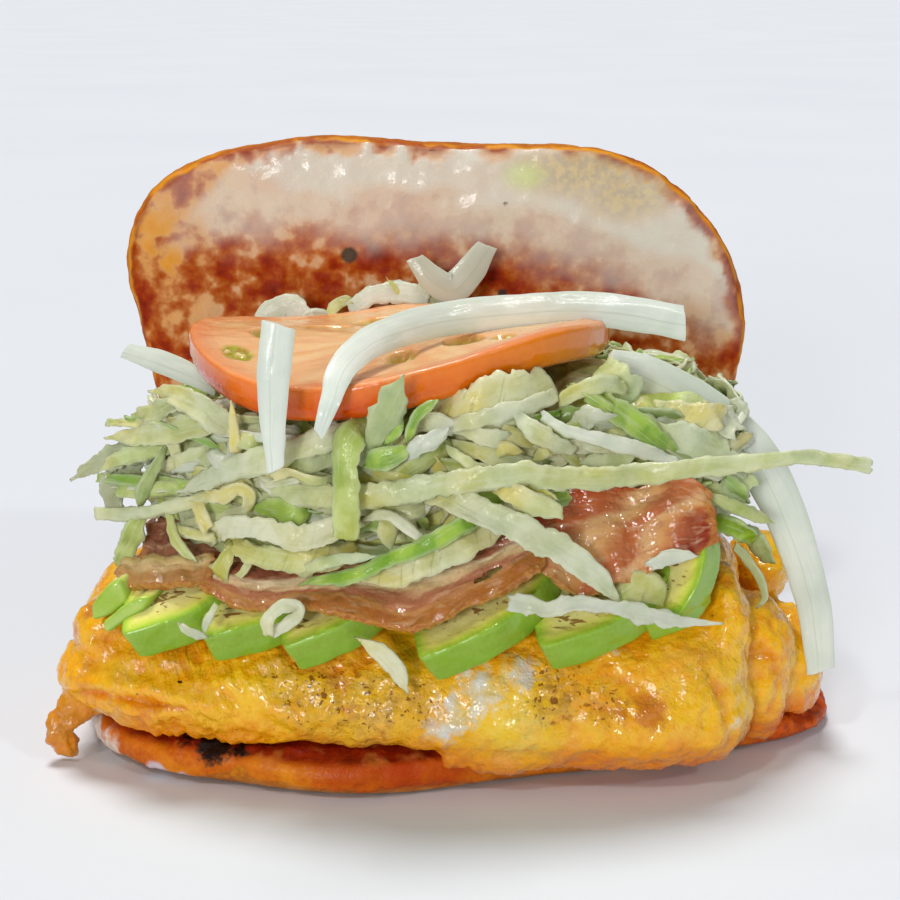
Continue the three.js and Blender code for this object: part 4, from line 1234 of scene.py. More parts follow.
onionLook = {
    "wall": 2.2,
    "cup": 0.8,
    "grain": 0.5,
    "strips": [
        # path, widths, and how much greyer the strip is painted, as painted shade
        ([(-35, -53.5, 95.5), (-36, -55, 86), (-36.2, -55.5, 77), (-36, -55, 69)], (6, 6, 5, 3.2), 0.1),
        ([(-28, -55.5, 75.5), (-26, -54.5, 81), (-23.4, -47.3, 86.8), (-17, -38.5, 90.4), (-6, -29, 92),
          (9, -23, 92.6), (26, -17, 92), (43.5, -13, 88.5)], (2.4, 5.6, 6.4, 6.6, 6.8, 7, 7, 7), 0.0),
        ([(27, -24, 82), (35, -22, 79.5), (46, -19, 73), (58, -17, 62), (66, -16, 47), (71, -18, 32),
          (72.5, -20, 22), (73, -21, 16.5)], (7, 8.4, 9.4, 9.6, 9, 8, 7.2, 6), 0.15),
        ([(-73, 6, 79), (-66, 1, 78), (-59, -4, 76.5), (-52, -8, 74)], (4, 5, 5, 4), 0.4),
        ([(-12, 30.5, 95.5), (-8, 29.5, 91), (-3.5, 29.5, 88.8), (0.5, 31, 92.5), (4.5, 32.5, 98)],
         (4, 6, 7, 6.4, 4.5), 1.0),
    ],
}


def buildOnion(number, path, widths, dull):
    look = onionLook
    line, length = smoothPath(path, pathSteps)
    piece = newPiece(f"onionStrip{number}", bpy.ops.mesh.primitive_grid_add, size=1,
                     x_subdivisions=int(length / look["grain"]), y_subdivisions=16)
    flat = placesOf(piece) * mm
    s, v = flat[:, 0] + 0.5, flat[:, 1] * 2
    centre, tangent, across, out = frameAlong(line, s * (pathSteps - 1), towardView)
    half = 0.5 * np.interp(s, np.linspace(0, 1, len(widths)), widths)
    half *= 1 + 0.03 * softNoise(columns(s * length, np.sign(v) * 9, number * 3.0), 6, 1)
    run = columns(s * length * 0.2, v * half, number * 5.0)
    half = np.maximum(half - 0.35, 0.8)
    lift = -look["cup"] * (half / 3.5) ** 2 * v ** 2
    lift += 0.12 * roughness(run, 1.6, number, 2) + 0.3 * softNoise(run, 5, number)
    slant = (fade(0.94, 1, s) - fade(0.06, 0, s)) * v * 0.6
    slant += 0.3 * softNoise(run, 2, 7) * (fade(0.97, 1, s) + fade(0.03, 0, s))
    movePlaces(piece, centre + across * (half * v)[:, None] + out * lift[:, None] + tangent * slant[:, None])
    paint(piece, along=s * length, over=v * half, edge=fade(0.6, 1.0, np.abs(v)), dull=dull)
    return thickened(piece, look["wall"], 0.5, 3)


def onionMaterial():
    material, shader = newMaterial("onionLayer", Coat_Weight=0.25, Coat_Roughness=0.12, Subsurface_Weight=0.3,
                                   Subsurface_Radius=(0.004, 0.004, 0.003), Subsurface_Scale=0.7)
    place = millimetres()
    lines = clouded(combined(times(painted("along"), 0.05), painted("over")), 1.6, 3.0, 0.3)
    soft = mottled(place, 0.08, 0.35, 0.65, 0.6)
    colour = blend(soft, "dde5d9", "e9eee2")
    colour = blend(between(lines, 0.5, 0.7, 0.0, 0.16), colour, "b6c8ae")
    colour = laid(colour, painted("edge"), 0.35, "bccbb2")
    seam = between(reckoned("ABSOLUTE", minus(painted("over"), 0.5)), 0.0, 0.22, 1.0, 0.0)
    colour = laid(colour, seam, 0.22, "9aa580")
    # painted shade: some strips are painted greyer, most of all those at the back
    colour = laid(colour, painted("dull"), 0.6, "aaa995")
    gloss = between(lines, 0.3, 0.7, 0.24, 0.38)
    dress(shader, place, colour, gloss, plus(lines, skinned(place, 0.4, 2.0, 0.2)), 0.07, 1.2)
    return material


onionLayer = onionMaterial()
for i, (path, widths, dull) in enumerate(onionLook["strips"]):
    finishPiece(buildOnion(i + 1, path, widths, dull), onionLayer, "onion", f"onion_{i + 1}")
print("onion ready")


# Lettuce

lettuceLook = {
    "leaf": 0.5,
    "rib": 1.0,
    "step": 0.62,  # length of a grid square along a shred
    "across": 0.72,
    "pathSteps": 160,
    # how far forward the heap reaches, and how it falls back to both sides of a pixel column of the photo
    "front": -47.5,
    "fallBack": 24,
    "middleColumn": 420,
    "halfColumns": 330,
    "torn": ("frost", "shade", "light"),  # kinds with ragged sides
    "strewn": ("pale", "cream", "white", "light", "lime", "green", "frost", "veined", "olive"),
    "heapVoxel": 1.2,
    # middle, half sizes, and how boxy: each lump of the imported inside
    "heap": [((-15, -9, 58), (50, 37, 17), 0.75), ((28, -9, 60), (28, 29, 20), 0.8),
             ((-6, 5, 48), (56, 21, 10), 0.8)],
    # how much each share changes along a shred, and from one shred to the next
    "changes": [("green", 0.35, -0.2), ("yellow", -0.3, -0.15), ("white", 0.4, 0.5), ("grey", 0.1, 0)],
    # shares of green, yellow, white and grey
    "kinds": {
        "pale": (0.2, 0.3, 0.25, 0.1), "cream": (0.03, 0.75, 0.2, 0), "white": (0.03, 0.12, 1.0, 0),
        "frost": (0.12, 0.0, 0.7, 0.35),
        "green": (1.0, 0.1, 0, 0), "lime": (0.42, 0.6, 0.15, 0), "light": (0.6, 0.25, 0.1, 0),
        "olive": (0.6, 0, 0, 0.6),
        "yellow": (0.05, 1.0, 0, 0), "veined": (0.08, 0.85, 0.1, 0), "shade": (0.25, 0, 0.05, 0.9),
    },
}
# kind, widths in millimetres, tips (0 blunt, 1 pointed end, 2 pointed start, 3 both), twist, wave,
# then the path in pixels of the photo and how far it stands out from the heap
frontShreds = [
    ("pale", (4, 4.6, 5, 4.6, 4, 3, 2.4), 0, 0.3, 0.5,
     [(238, 506, -3), (277, 495, 3), (334, 497, 5), (392, 494, 6), (440, 485, 7), (482, 479, 8),
      (524, 475, 9), (566, 478, 10), (608, 478, 11), (642, 475, 12), (679, 470, 16), (721, 465, 20),
      (763, 462, 25), (799, 457, 30), (833, 460, 34), (872, 467, 40)]),
    ("pale", (2.5, 4.4, 5, 4.6, 4), 2, 0.4, 0.4,
     [(176, 498, 1), (203, 480, 4), (239, 467, 5), (272, 457, 5), (302, 446, 5), (330, 438, 4), (352, 431, 2),
      (374, 424, -3)]),
    ("pale", (2.6, 3, 2.6, 2.4), 0, 0.5, 0.4,
     [(96, 513, 1), (124, 514, 2), (148, 512, 3), (172, 506, 4), (195, 501, 4), (213, 493, 3),
      (232, 486, -2)]),
    ("lime", (4.5, 6.5, 5.4, 4.8, 4.6), 0, 0.3, 0.3,
     [(370, 422, -2), (356, 430, 5), (348, 444, 7), (346, 472, 8), (346, 498, 9), (346, 523, 9),
      (345, 540, 8)]),
    ("cream", (2.5, 4.6, 4.8, 4.6, 3.4), 0, 0.3, 0.4,
     [(210, 540, 0), (222, 530, 4), (234, 527, 5), (254, 527, 6), (280, 534, 6), (302, 538, 6), (325, 532, 6),
      (346, 523, 5), (368, 512, 0)]),
    ("veined", (3, 4.4, 4.8, 4.6, 3.2), 0, 0.3, 0.4,
     [(230, 538, 1), (240, 549, 4), (259, 556, 5), (285, 560, 6), (310, 561, 6), (336, 557, 4),
      (356, 548, 0)]),
    ("pale", (1.8, 3.2, 5.2), 0, 0.5, 0.2, [(233, 544, 3), (224, 560, 5), (217, 575, 5)]),
    ("pale", (1.8, 1.6), 0, 0.6, 0.2, [(248, 554, 3), (247, 566, 4), (238, 577, 4)]),
    ("lime", (1.6, 2.2, 1.4), 1, 0.5, 0.2, [(169, 512, 3), (172, 530, 4), (181, 547, 5), (196, 561, 5)]),
    ("yellow", (2, 3.2, 2.6, 1.6), 0, 0.9, 0.6,
     [(204, 494, 3), (222, 496, 5), (239, 488, 5), (250, 496, 4), (245, 511, 4)]),
    ("yellow", (2.4, 3, 2), 0, 0.6, 0.4, [(195, 498, 3), (200, 512, 5), (209, 530, 5)]),
    ("yellow", (1.6, 2.6, 1.6), 3, 0.6, 0.5, [(214, 487, 3), (231, 480, 4), (248, 484, 3)]),
    ("pale", (1.6, 2, 1.6), 0, 0.4, 0.3, [(172, 527, 2), (190, 533, 4), (216, 538, 3)]),
    ("green", (1.6, 5, 5, 1.4), 3, 0.4, 0.3, [(253, 507, 2), (275, 510, 4), (297, 514, 4), (314, 506, 1)]),
    ("frost", (8, 10, 10, 8), 0, 0.3, 0.9, [(166, 456, -3), (190, 448, 0), (214, 446, 0), (238, 456, -3)]),
    ("pale", (1, 4, 4.6, 4.4), 2, 0.3, 0.4,
     [(105, 438, 1), (134, 436, 2), (166, 434, 3), (196, 426, 3), (224, 418, 0)]),
    ("frost", (2, 3.4, 4, 2.4), 2, 0.6, 0.8, [(132, 415, 0), (150, 414, 2), (170, 406, 2), (192, 398, 0)]),
    ("pale", (1.2, 4.4, 5.2, 4), 2, 0.4, 0.4,
     [(149, 391, 0), (172, 394, 2), (196, 406, 4), (222, 421, 3), (244, 432, -2)]),
    ("shade", (1, 3, 5, 6, 4), 2, 0.4, 0.6,
     [(71, 480, -2), (92, 466, -1), (118, 455, 0), (146, 446, 1), (172, 436, -2)]),
    ("shade", (3, 6, 7, 5, 2), 0, 0.5, 1.0,
     [(114, 512, -3), (112, 492, -2), (126, 466, -2), (146, 452, -3), (160, 448, -4)]),
    ("frost", (3, 6, 8, 5), 0, 0.4, 1.0, [(160, 514, -4), (164, 490, -3), (172, 466, -3), (178, 446, -4)]),
    ("olive", (1, 1.8, 2.8, 3, 1.4), 3, 0.5, 0.2,
     [(168, 442, 1), (160, 458, 3), (149, 478, 4), (142, 494, 3), (140, 507, 0)]),
    ("light", (1.4, 3.8, 3.6, 2), 0, 0.5, 0.7, [(147, 508, 1), (136, 524, 2), (128, 544, 2), (117, 563, 1)]),
    ("yellow", (0.6, 1.8, 2.4), 2, 0.3, 0.2, [(231, 402, 3), (234, 425, 5), (236, 454, 3)]),
    ("pale", (2, 3.6, 3), 0, 0.3, 0.3, [(234, 436, 2), (250, 443, 4), (268, 450, 1)]),
    ("olive", (1, 5.4, 6.4, 3.4, 1.4), 3, 0.5, 0.2,
     [(404, 374, 9), (396, 392, 9), (388, 412, 8), (376, 436, 6), (367, 458, 3)]),
    ("green", (1.4, 4.4, 3.6, 1), 3, 0.3, 0.3, [(364, 466, 4), (378, 460, 6), (396, 455, 6), (413, 447, 4)]),
    ("green", (1.2, 2.6, 1.4), 3, 0.4, 0.3, [(398, 410, 5), (396, 428, 6), (386, 444, 5)]),
    ("green", (1.6, 2.4, 1.6, 1.6, 1), 3, 0.9, 0.4,
     [(438, 400, 9), (428, 406, 8), (418, 414, 7), (410, 428, 6), (406, 442, 4)]),
    ("frost", (1.2, 2.8, 3, 1.8), 3, 0.3, 0.3, [(400, 463, 3), (416, 449, 6), (432, 439, 6), (449, 428, 4)]),
    ("cream", (4, 5, 5), 0, 0.4, 0.5, [(354, 482, -1), (385, 472, 3), (414, 474, 3), (444, 468, -2)]),
    ("pale", (3, 4, 3), 0, 0.5, 0.5, [(366, 508, 1), (392, 512, 3), (416, 508, 3), (440, 502, -1)]),
    ("cream", (1, 2, 2.3, 1), 3, 0.4, 0.2, [(360, 521, 3), (386, 515, 7), (410, 530, 8), (438, 551, 7)]),
    ("pale", (2, 3.8, 1.4), 1, 0.4, 0.2, [(389, 510, 4), (387, 528, 6), (391, 550, 5)]),
    ("green", (1.4, 3, 3.3, 3.2, 3.4, 3), 2, 0.4, 0.3,
     [(300, 585, 6), (315, 581, 8), (345, 577, 9), (366, 570, 9), (392, 558, 9), (422, 547, 9), (462, 526, 8),
      (486, 514, 1)]),
    ("light", (1.4, 2.4, 2.6, 1.4), 1, 0.3, 0.3,
     [(302, 578, 5), (316, 566, 8), (345, 560, 8), (377, 556, 7)]),
    ("veined", (2, 5.4, 6.4, 6, 3.6), 2, 0.2, 0.2,
     [(360, 581, 5), (391, 574, 6), (422, 561, 7), (462, 546, 6), (498, 526, 2)]),
    ("pale", (4, 4.8, 5.6, 5.8, 5.4, 4, 2.4), 1, 0.4, 0.7,
     [(416, 486, 1), (448, 496, 6), (482, 513, 8), (524, 531, 10), (561, 550, 12), (592, 572, 14),
      (612, 594, 14), (624, 608, 13)]),
    ("frost", (3, 4.2, 3.2, 3, 3.6, 3.4, 2.4, 1.2), 1, 0.4, 0.5,
     [(508, 605, 9), (528, 604, 11), (549, 608, 12), (586, 603, 14), (620, 608, 15), (650, 615, 16),
      (679, 621, 17), (721, 624, 21)]),
    ("pale", (2, 6, 6, 1.4), 3, 0.3, 0.3, [(612, 606, 11), (630, 590, 12), (648, 588, 13), (664, 606, 12)]),
    ("veined", (5, 8, 10, 9, 5), 0, 0.2, 0.5,
     [(434, 412, -2), (470, 409, 3), (505, 401, 3), (530, 393, 2), (550, 380, -3)]),
    ("pale", (3, 3.6, 2.6), 0, 0.4, 0.5,
     [(438, 430, 0), (470, 421, 4), (505, 413, 4), (535, 404, 3), (556, 394, -1)]),
    ("yellow", (1.4, 2.8, 1.4), 3, 0.6, 0.5, [(492, 458, 3), (504, 449, 5), (523, 453, 4)]),
    ("yellow", (1.4, 2.8, 1.6), 3, 0.6, 0.5, [(534, 460, 3), (545, 451, 5), (561, 449, 3)]),
    ("white", (1.6, 4, 3.4, 1.6), 0, 0.4, 0.4, [(518, 414, 3), (530, 428, 6), (548, 440, 6), (574, 451, 3)]),
    ("white", (1.8, 2.6, 3, 3, 1.6), 0, 0.5, 0.4,
     [(541, 416, 2), (566, 430, 5), (600, 440, 6), (636, 449, 7), (676, 463, 6)]),
    ("pale", (2.4, 4.4, 3), 0, 0.4, 0.6, [(452, 446, 1), (480, 452, 4), (508, 462, 4), (540, 468, 1)]),
    ("lime", (1.4, 2.6, 1.6), 3, 0.5, 0.3, [(444, 444, 3), (460, 458, 6), (482, 469, 6), (512, 474, 3)]),
    ("pale", (2, 4, 4, 2), 0, 0.4, 0.5, [(448, 424, 1), (476, 434, 4), (500, 440, 4), (522, 444, 0)]),
    ("green", (4, 5.4, 4.8, 4, 2), 0, 0.5, 0.4,
     [(590, 392, -3), (612, 408, 2), (636, 424, 4), (660, 442, 5), (680, 460, 2)]),
    ("light", (3, 6.4, 6, 3), 0, 0.4, 0.6, [(630, 420, 0), (664, 432, 3), (700, 445, 5), (742, 464, 3)]),
    ("green", (3, 4.4, 3), 0, 0.5, 0.4, [(546, 421, -5), (575, 414, -3), (602, 428, -4)]),
    ("light", (6, 8.4, 7), 0, 0.4, 0.5, [(600, 368, -8), (616, 382, -3), (636, 398, -3)]),
    ("pale", (2, 3.6, 2.6), 0, 0.4, 0.3, [(558, 402, -1), (580, 390, 2), (604, 384, 3), (626, 388, 0)]),
    ("frost", (4, 6.4, 5), 0, 0.4, 1.2, [(573, 430, -1), (592, 419, 2), (612, 423, 2), (626, 440, -1)]),
    ("light", (3, 5.4, 6, 2.4), 0, 0.6, 0.6, [(682, 494, 1), (704, 494, 4), (728, 494, 5), (754, 478, 3)]),
    ("green", (2, 3.4, 1.6), 0, 0.5, 0.4, [(724, 478, 4), (738, 490, 6), (746, 503, 4)]),
    ("pale", (1, 2.8, 3, 1.4), 3, 0.4, 0.3, [(694, 490, 4), (720, 500, 8), (746, 512, 9), (772, 522, 7)]),
    ("green", (2.6, 5, 4.4, 2), 0, 0.5, 1.1, [(706, 520, 1), (726, 525, 5), (744, 532, 6), (754, 542, 3)]),
    ("olive", (1.4, 2.4, 1.8, 1.6, 1), 1, 0.5, 0.3,
     [(735, 546, 4), (748, 560, 6), (760, 580, 8), (765, 597, 9), (757, 608, 8)]),
    ("olive", (3, 5, 3), 0, 0.6, 0.8, [(742, 528, -1), (758, 544, 1), (768, 562, 0)]),
    ("cream", (1.4, 4.4, 4.8, 2.2), 0, 0.4, 0.9,
     [(492, 486, 5), (512, 494, 9), (536, 505, 10), (563, 513, 10)]),
    ("pale", (1.4, 2.4, 1.2), 3, 0.4, 0.3, [(520, 483, 6), (540, 492, 9), (558, 501, 9)]),
    ("frost", (2, 3, 1), 1, 0.3, 0.2, [(650, 567, 13), (668, 558, 15), (698, 556, 17)]),
    ("pale", (3, 4.4, 3), 0, 0.4, 0.5, [(258, 512, 0), (300, 519, 2), (338, 514, -1)]),
    ("cream", (2, 3, 1.6), 0, 0.7, 0.4, [(272, 477, 4), (292, 473, 6), (314, 481, 6), (336, 478, 2)]),
    ("pale", (3, 4.6, 3.6), 0, 0.4, 0.5, [(252, 474, 2), (282, 466, 4), (312, 462, 4), (344, 452, 0)]),
    ("pale", (3, 4.6, 3), 0, 0.5, 0.5, [(286, 456, 1), (318, 451, 3), (350, 458, -1)]),
    ("lime", (2, 3.8, 2), 2, 0.5, 0.5, [(98, 470, -1), (128, 456, 2), (158, 450, 2), (184, 446, -2)]),
    ("cream", (2, 3.6, 3), 0, 0.4, 0.4, [(408, 430, -1), (430, 422, 3), (456, 428, 2)]),
    ("pale", (2.4, 4, 3), 0, 0.4, 0.4, [(376, 490, 2), (408, 470, 4), (436, 452, 3), (462, 444, -1)]),
]
# shreds that lie elsewhere: kind, widths, tips, twist, wave, then pixels and the true depth in millimetres
strayShreds = [
    ("cream", (1, 3, 4.2, 3.4, 1), 3, 0.2, 0.2,
     [(357, 638, -51.5), (371, 646, -52.5), (388, 660, -53), (400, 677, -52.8), (408, 693, -52)]),
    ("cream", (2.2, 2.8, 2.6, 2), 0, 0.4, 0.2,
     [(268, 634, -53), (268, 619, -55), (282, 607, -56), (297, 607, -55), (297, 617, -53.5), (283, 627, -53),
      (272, 634, -52.5)]),
    ("frost", (1, 3, 1.2), 3, 0.3, 0.2, [(180, 623, -51), (190, 632, -51.5), (207, 638, -50.5)]),
    ("frost", (1, 1.6, 1), 0, 0.3, 0.1, [(217, 605, -50), (209, 618, -51.5), (204, 631, -52)]),
    ("white", (5, 7, 6, 4), 0, 0.4, 0.8,
     [(284, 345, 26), (270, 322, 31), (286, 307, 31), (302, 314, 30), (314, 328, 29)]),
    ("white", (2, 5, 5, 2), 0, 0.4, 0.5, [(296, 332, 29), (314, 318, 30), (336, 326, 30), (352, 340, 28)]),
    ("yellow", (1, 1.4, 1), 1, 0.2, 0.1, [(409, 312, 30), (398, 293, 31), (388, 279, 31.5)]),
    ("light", (4, 4.6, 1.4), 1, 0.3, 0.3, [(446, 312, 30), (430, 297, 31), (418, 279, 31.5)]),
    ("white", (3, 5, 5, 4), 0, 0.3, 0.4, [(350, 310, 30), (372, 296, 31), (396, 292, 31), (430, 300, 30)]),
    ("cream", (2, 3, 2), 0, 0.5, 0.5, [(326, 318, 29), (338, 304, 31), (352, 300, 31)]),
]


def heapDepth(px):
    # how far forward the heap reaches at a pixel column
    look = lettuceLook
    return look["front"] + look["fallBack"] * ((px - look["middleColumn"]) / look["halfColumns"]) ** 2


def layShred(kind, widths, tips, twist, wave, path, seed, facing=towardView):
    # a grid laid along its path: cupped, turned, waved at its edges and cut or pointed at its ends
    look, draw = lettuceLook, random.Random(seed)
    line, length = smoothPath(path, look["pathSteps"])
    piece = newPiece("shred", bpy.ops.mesh.primitive_grid_add, size=1,
                     x_subdivisions=max(6, int(length / look["step"])),
                     y_subdivisions=max(4, int(max(widths) / look["across"])))
    flat = placesOf(piece) * mm
    s, v = flat[:, 0] + 0.5, flat[:, 1] * 2
    centre, tangent, across, out = frameAlong(line, s * (look["pathSteps"] - 1), facing)
    run = s * length

    def alongNoise(size, extra=0.0):
        return softNoise(columns(run, extra, seed * 1.7), size, 2)

    turn = twist * (1.6 * alongNoise(16) + draw.uniform(-0.5, 0.5))
    over = across * np.cos(turn)[:, None] + out * np.sin(turn)[:, None]
    up = np.cross(over, tangent)
    smoothWidths = np.interp(np.linspace(0, 1, 60), np.linspace(0, 1, len(widths)), widths)
    smoothWidths = np.convolve(np.pad(smoothWidths, 6, "edge"), np.ones(13) / 13, "valid")
    half = 0.5 * np.interp(s, np.linspace(0, 1, 60), smoothWidths)
    edge = columns(run, np.sign(v) * 40, seed * 2.3)
    torn = (0.5 if kind in look["torn"] else 0.22) * np.abs(v) ** 2 * roughness(edge, 2.6, 8, 3)
    torn += np.abs(v) * (0.15 * softNoise(edge, 5, 3) + 0.16 * roughness(edge, 1.8, 4, 3))
    half *= 1 + torn + 0.16 * alongNoise(13)
    if tips & 2:
        half *= 0.12 + 0.88 * fade(0, 0.2, s) ** 0.7
    if tips & 1:
        half *= 0.12 + 0.88 * fade(1, 0.8, s) ** 0.7
    cup = draw.choice((-1, 1)) * (0.16 + 0.2 * alongNoise(18, 3.0))
    ripple = np.sin(run * draw.uniform(0.8, 1.15) + 1.4 * alongNoise(9, 5.0) * 3 + np.where(v > 0, 0, 2.0))
    ripple *= wave * np.abs(v) ** 1.6 * (0.6 + alongNoise(11, 7.0))
    lift = cup * half * v ** 2 + ripple + 0.5 * softNoise(columns(run, v * half, seed * 0.9), 5, 4)
    ends = fade(0.92, 1, s) + fade(0.08, 0, s)
    ragged = v * draw.uniform(-0.7, 0.7) + 0.7 * softNoise(columns(run * 0.2, v * 3, seed * 2.3), 1.2, 5)
    places = centre + over * (half * v)[:, None] + up * lift[:, None]
    movePlaces(piece, places + tangent * (ends * ragged)[:, None])
    # the surface map that the leaf's lines follow, in millimetres
    layer = piece.data.uv_layers[0]
    layer.name = "surface"
    corner = np.empty(len(piece.data.loops), np.int32)
    piece.data.loops.foreach_get("vertex_index", corner)
    uv = columns(run + seed * 31.7, v * half + seed * 3.1)[corner]
    layer.data.foreach_set("uv", uv.astype(np.float32).ravel())
    drift = softNoise(columns(run, v * 2, seed * 0.7), 9, 6) + 0.5 * (s - 0.5) * draw.choice((-1, 1))
    leaning = draw.uniform(-1, 1)
    for share, (name, change, spread) in zip(look["kinds"][kind], look["changes"]):
        paint(piece, **{name: np.clip(share + (change * drift + spread * leaning) * (share > 0), 0, 1)})
    paint(piece, edge=np.abs(v) ** 5, veined=float(kind == "veined"), tone=draw.random())
    return piece


def strewnShred(draw, weights, widths, mostWave, path, seed, facing=towardView):
    # a shred of a drawn kind, width and form
    kind = draw.choices(lettuceLook["strewn"], weights)[0]
    wide = draw.uniform(*widths)
    return layShred(kind, (wide * 0.7, wide, wide * 0.8), draw.choice((0, 0, 1, 2)), draw.uniform(0.2, 0.9),
                    draw.uniform(0.2, mostWave), path, seed, facing)


def joinAs(name, parts, thickness=None):
    pickNothing()
    for part in parts:
        part.select_set(True)
    bpy.context.view_layer.objects.active = parts[0]
    bpy.ops.object.join()
    piece = bpy.context.object
    piece.name = name
    if thickness:
        applyModifier(piece, "SOLIDIFY", thickness=thickness * mm, offset=0)
    return piece


def buildFrontShreds():
    thin, thick = [], []
    paths = [[fromPhoto(px, py, heapDepth(px) - out) for px, py, out in shred[-1]] for shred in frontShreds]
    paths += [[fromPhoto(*pixel) for pixel in shred[-1]] for shred in strayShreds]
    seeds = [*range(1, len(frontShreds) + 1), *range(201, 201 + len(strayShreds))]
    for (kind, *shape, pixels), path, seed in zip(frontShreds + strayShreds, paths, seeds):
        (thick if kind == "white" else thin).append(layShred(kind, *shape, path, seed))
    return joinAs("lettuceFront", thin, lettuceLook["leaf"]), joinAs("lettuceRibs", thick, lettuceLook["rib"])


def buildFillers(count):
    # small shreds in the gaps of the heap's front, above the line where bacon and egg show
    draw = random.Random(5)
    parts = []
    while len(parts) < count:
        px, py = draw.uniform(150, 735), draw.uniform(404, 560)
        lowest = np.interp(px, [150, 200, 380, 440, 500, 540, 600, 700, 735],
                           [520, 545, 545, 505, 488, 470, 462, 466, 500])
        highest = np.interp(px, [150, 240, 290, 420, 540, 600, 735], [402, 405, 424, 428, 408, 378, 440])
        if not highest + 8 < py < lowest - 8:
            continue
        heading, half = draw.gauss(0, 0.55), draw.uniform(22, 62)
        out = draw.uniform(-1.5, 3)
        path = []
        for step in (-1, -0.4, 0.4, 1):
            x = px + step * half * math.cos(heading)
            y = py + step * half * math.sin(heading) + draw.uniform(-4, 4)
            path.append(fromPhoto(x, y, heapDepth(x) - out + 3.5 * abs(step) ** 3))
        parts.append(strewnShred(draw, (9, 5, 3, 3, 3, 2, 3, 2, 0), (1.5, 3.6), 0.7, path, 300 + len(parts)))
    return joinAs("lettuceBetween", parts, lettuceLook["leaf"])


def buildLooseShreds(name, heap, seed, count, bearings, rises, outs, around):
    # shreds laid on the heap's sides, back and top, each over the nearest places of its surface
    draw = random.Random(seed)
    surface = BVHTree.FromObject(heap, bpy.context.evaluated_depsgraph_get())
    parts = []
    for i in range(count):
        bearing, rise = math.radians(draw.uniform(*bearings)), draw.uniform(*rises)
        heading, reach = draw.gauss(0, 0.7), draw.uniform(7, 17)
        out = draw.uniform(*outs)
        path = []
        for step in (-1, -0.35, 0.35, 1):
            turn = bearing + step * reach * math.cos(heading) / 48
            z = rise + step * reach * math.sin(heading) * 0.8
            outside = Vector((around[0] * math.cos(turn), around[1] * math.sin(turn) - 8, z)) * mm
            place, normal, *_ = surface.find_nearest(outside)
            if step == -0.35:
                away = np.array(normal)
            path.append(np.array(place) / mm + np.array(normal) * (out - 2.5 * abs(step) ** 3))
        parts.append(strewnShred(draw, (9, 4, 3, 4, 3, 3, 3, 2, 2), (2.6, 6.4), 0.8, path, seed * 100 + i,
                                 away))
    return joinAs(name, parts, lettuceLook["leaf"])


def buildHeap():
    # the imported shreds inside: squashed balls made one and crumpled
    parts = []
    for middle, halves, boxy in lettuceLook["heap"]:
        ball = newPiece("lump", bpy.ops.mesh.primitive_ico_sphere_add, subdivisions=5, radius=1)
        places = placesOf(ball) * mm
        movePlaces(ball, np.sign(places) * np.abs(places) ** boxy * np.array(halves) + np.array(middle))
        parts.append(ball)
    heap = remeshed(joinAs("lettuceHeap", parts), lettuceLook["heapVoxel"], 0)
    places, normals = placesOf(heap), normalsOf(heap)
    pits, gaps = cells(places * np.array([0.45, 0.8, 1.5]), 5, 1)
    ridge = 1.8 * (0.35 - np.clip(gaps - pits, 0, 0.35)) / 0.35
    shift = 1.4 * roughness(places, 9, 2, 3) + ridge - 2.6
    movePlaces(heap, places + normals * shift[:, None])
    drift = roughness(places * np.array([0.5, 0.8, 1.5]), 7, 3, 3)
    paint(heap, green=np.clip(0.3 + 0.7 * drift, 0, 1), yellow=np.clip(0.45 - 0.5 * drift, 0, 1),
          white=np.clip(0.15 + 0.5 * roughness(places, 6, 4, 2), 0, 1), grey=0, edge=0, veined=0, tone=0)
    return heap


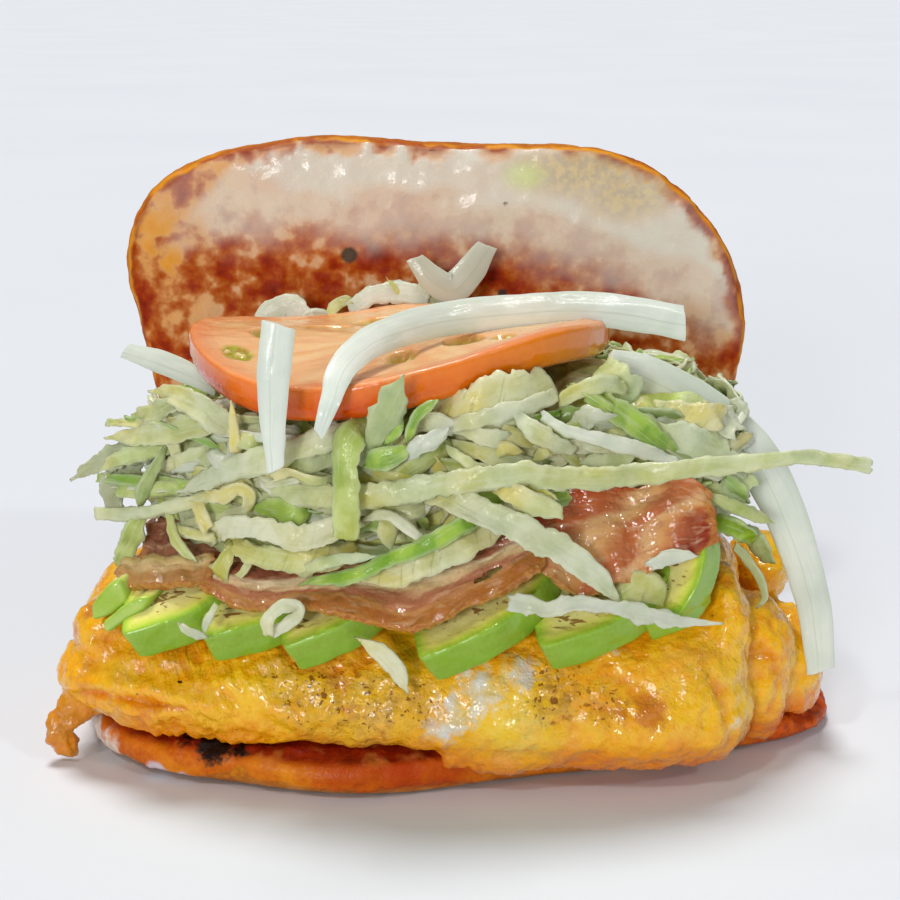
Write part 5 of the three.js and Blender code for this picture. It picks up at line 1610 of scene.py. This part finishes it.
def leafMaterial(name, byUv):
    material, shader = newMaterial(name, Coat_Weight=0.45, Coat_Roughness=0.14)
    place = millimetres()
    soft = mottled(place, 0.22, 0.36, 0.64)
    surface = wire("ShaderNodeUVMap", uv_map="surface").outputs["UV"] if byUv else place
    lines = fibred(surface, 1.1, 0.1, 0.5)
    sideVeins = fibred(turnedPlace(surface, Rotation=(0, 0, math.radians(62))), 0.9, 0.12, 0.5)
    # the kinds' tints: share, two tints that the surface goes between, and the one that shines through
    colour, shining = blend(soft, "c8cc60", "ecebac"), "dadc86"
    for name, share, first, second, through in (("yellow", 1.0, "f0e070", "f8f0b0", "f4e890"),
                                                ("green", 1.0, "84b810", "b8dc3c", "9eca26"),
                                                ("white", 0.95, "e6eedc", "fafcf0", "f0f5e6")):
        mask = times(painted(name), share)
        colour, shining = blend(mask, colour, blend(soft, first, second)), blend(mask, shining, through)
    for name, share, tone in (("grey", 0.7, "a8b098"), ("tone", 0.25, "f2f4da")):
        mask = times(painted(name), share)
        colour, shining = blend(mask, colour, tone), blend(mask, shining, tone)
    colour = blend(between(lines, 0.52, 0.68, 0.0, 0.3), colour, "f4f5da")
    colour = blend(between(sideVeins, 0.56, 0.7, 0.0, 0.16), colour, "b4c070")
    marked = times(between(sideVeins, 0.58, 0.66), painted("veined"))
    colour = laid(colour, marked, 0.35, "a4aa5c")
    colour = laid(colour, painted("edge"), 0.4, "f4f6d8")
    gloss = between(soft, 0.0, 1.0, 0.3, 0.42)
    dress(shader, place, colour, gloss, plus(lines, skinned(place, 0.5, 1.4, 0.4)), 0.25, 1.1)
    # light also comes through the leaf
    thin = wire("ShaderNodeBsdfTranslucent", {"Color": shining}).outputs[0]
    both = wire("ShaderNodeMixShader", {0: 0.28 if byUv else 0.1, 1: shader.outputs[0], 2: thin}).outputs[0]
    linked(both, material.node_tree.nodes["Material Output"].inputs["Surface"])
    return material


leaf = leafMaterial("lettuceLeaf", True)
heap = buildHeap()
finishPiece(heap, leafMaterial("lettuceInside", False), "lettuce", "lettuce")
print("heap ready")
for piece in buildFrontShreds():
    finishPiece(piece, leaf, "lettuce", "lettuce")
finishPiece(buildFillers(130), leaf, "lettuce", "lettuce")
print("front shreds ready")
# seed, number of shreds, bearings in degrees, heights, how far they stand out, and where they come from
looseShreds = {
    "lettuceBack": (7, 90, (-5, 185), (44, 76), (0.3, 2.6), (70, 48)),
    "lettuceSides": (11, 60, (150, 390), (46, 78), (0.3, 2.6), (70, 48)),
    "lettuceTop": (13, 80, (0, 360), (72, 88), (1.5, 6), (70, 48)),
    "lettuceCrown": (17, 125, (5, 212), (84, 98), (0.2, 1.8), (46, 30)),
}
for name, values in looseShreds.items():
    finishPiece(buildLooseShreds(name, heap, *values), leaf, "lettuce", "lettuce")
print("lettuce ready")
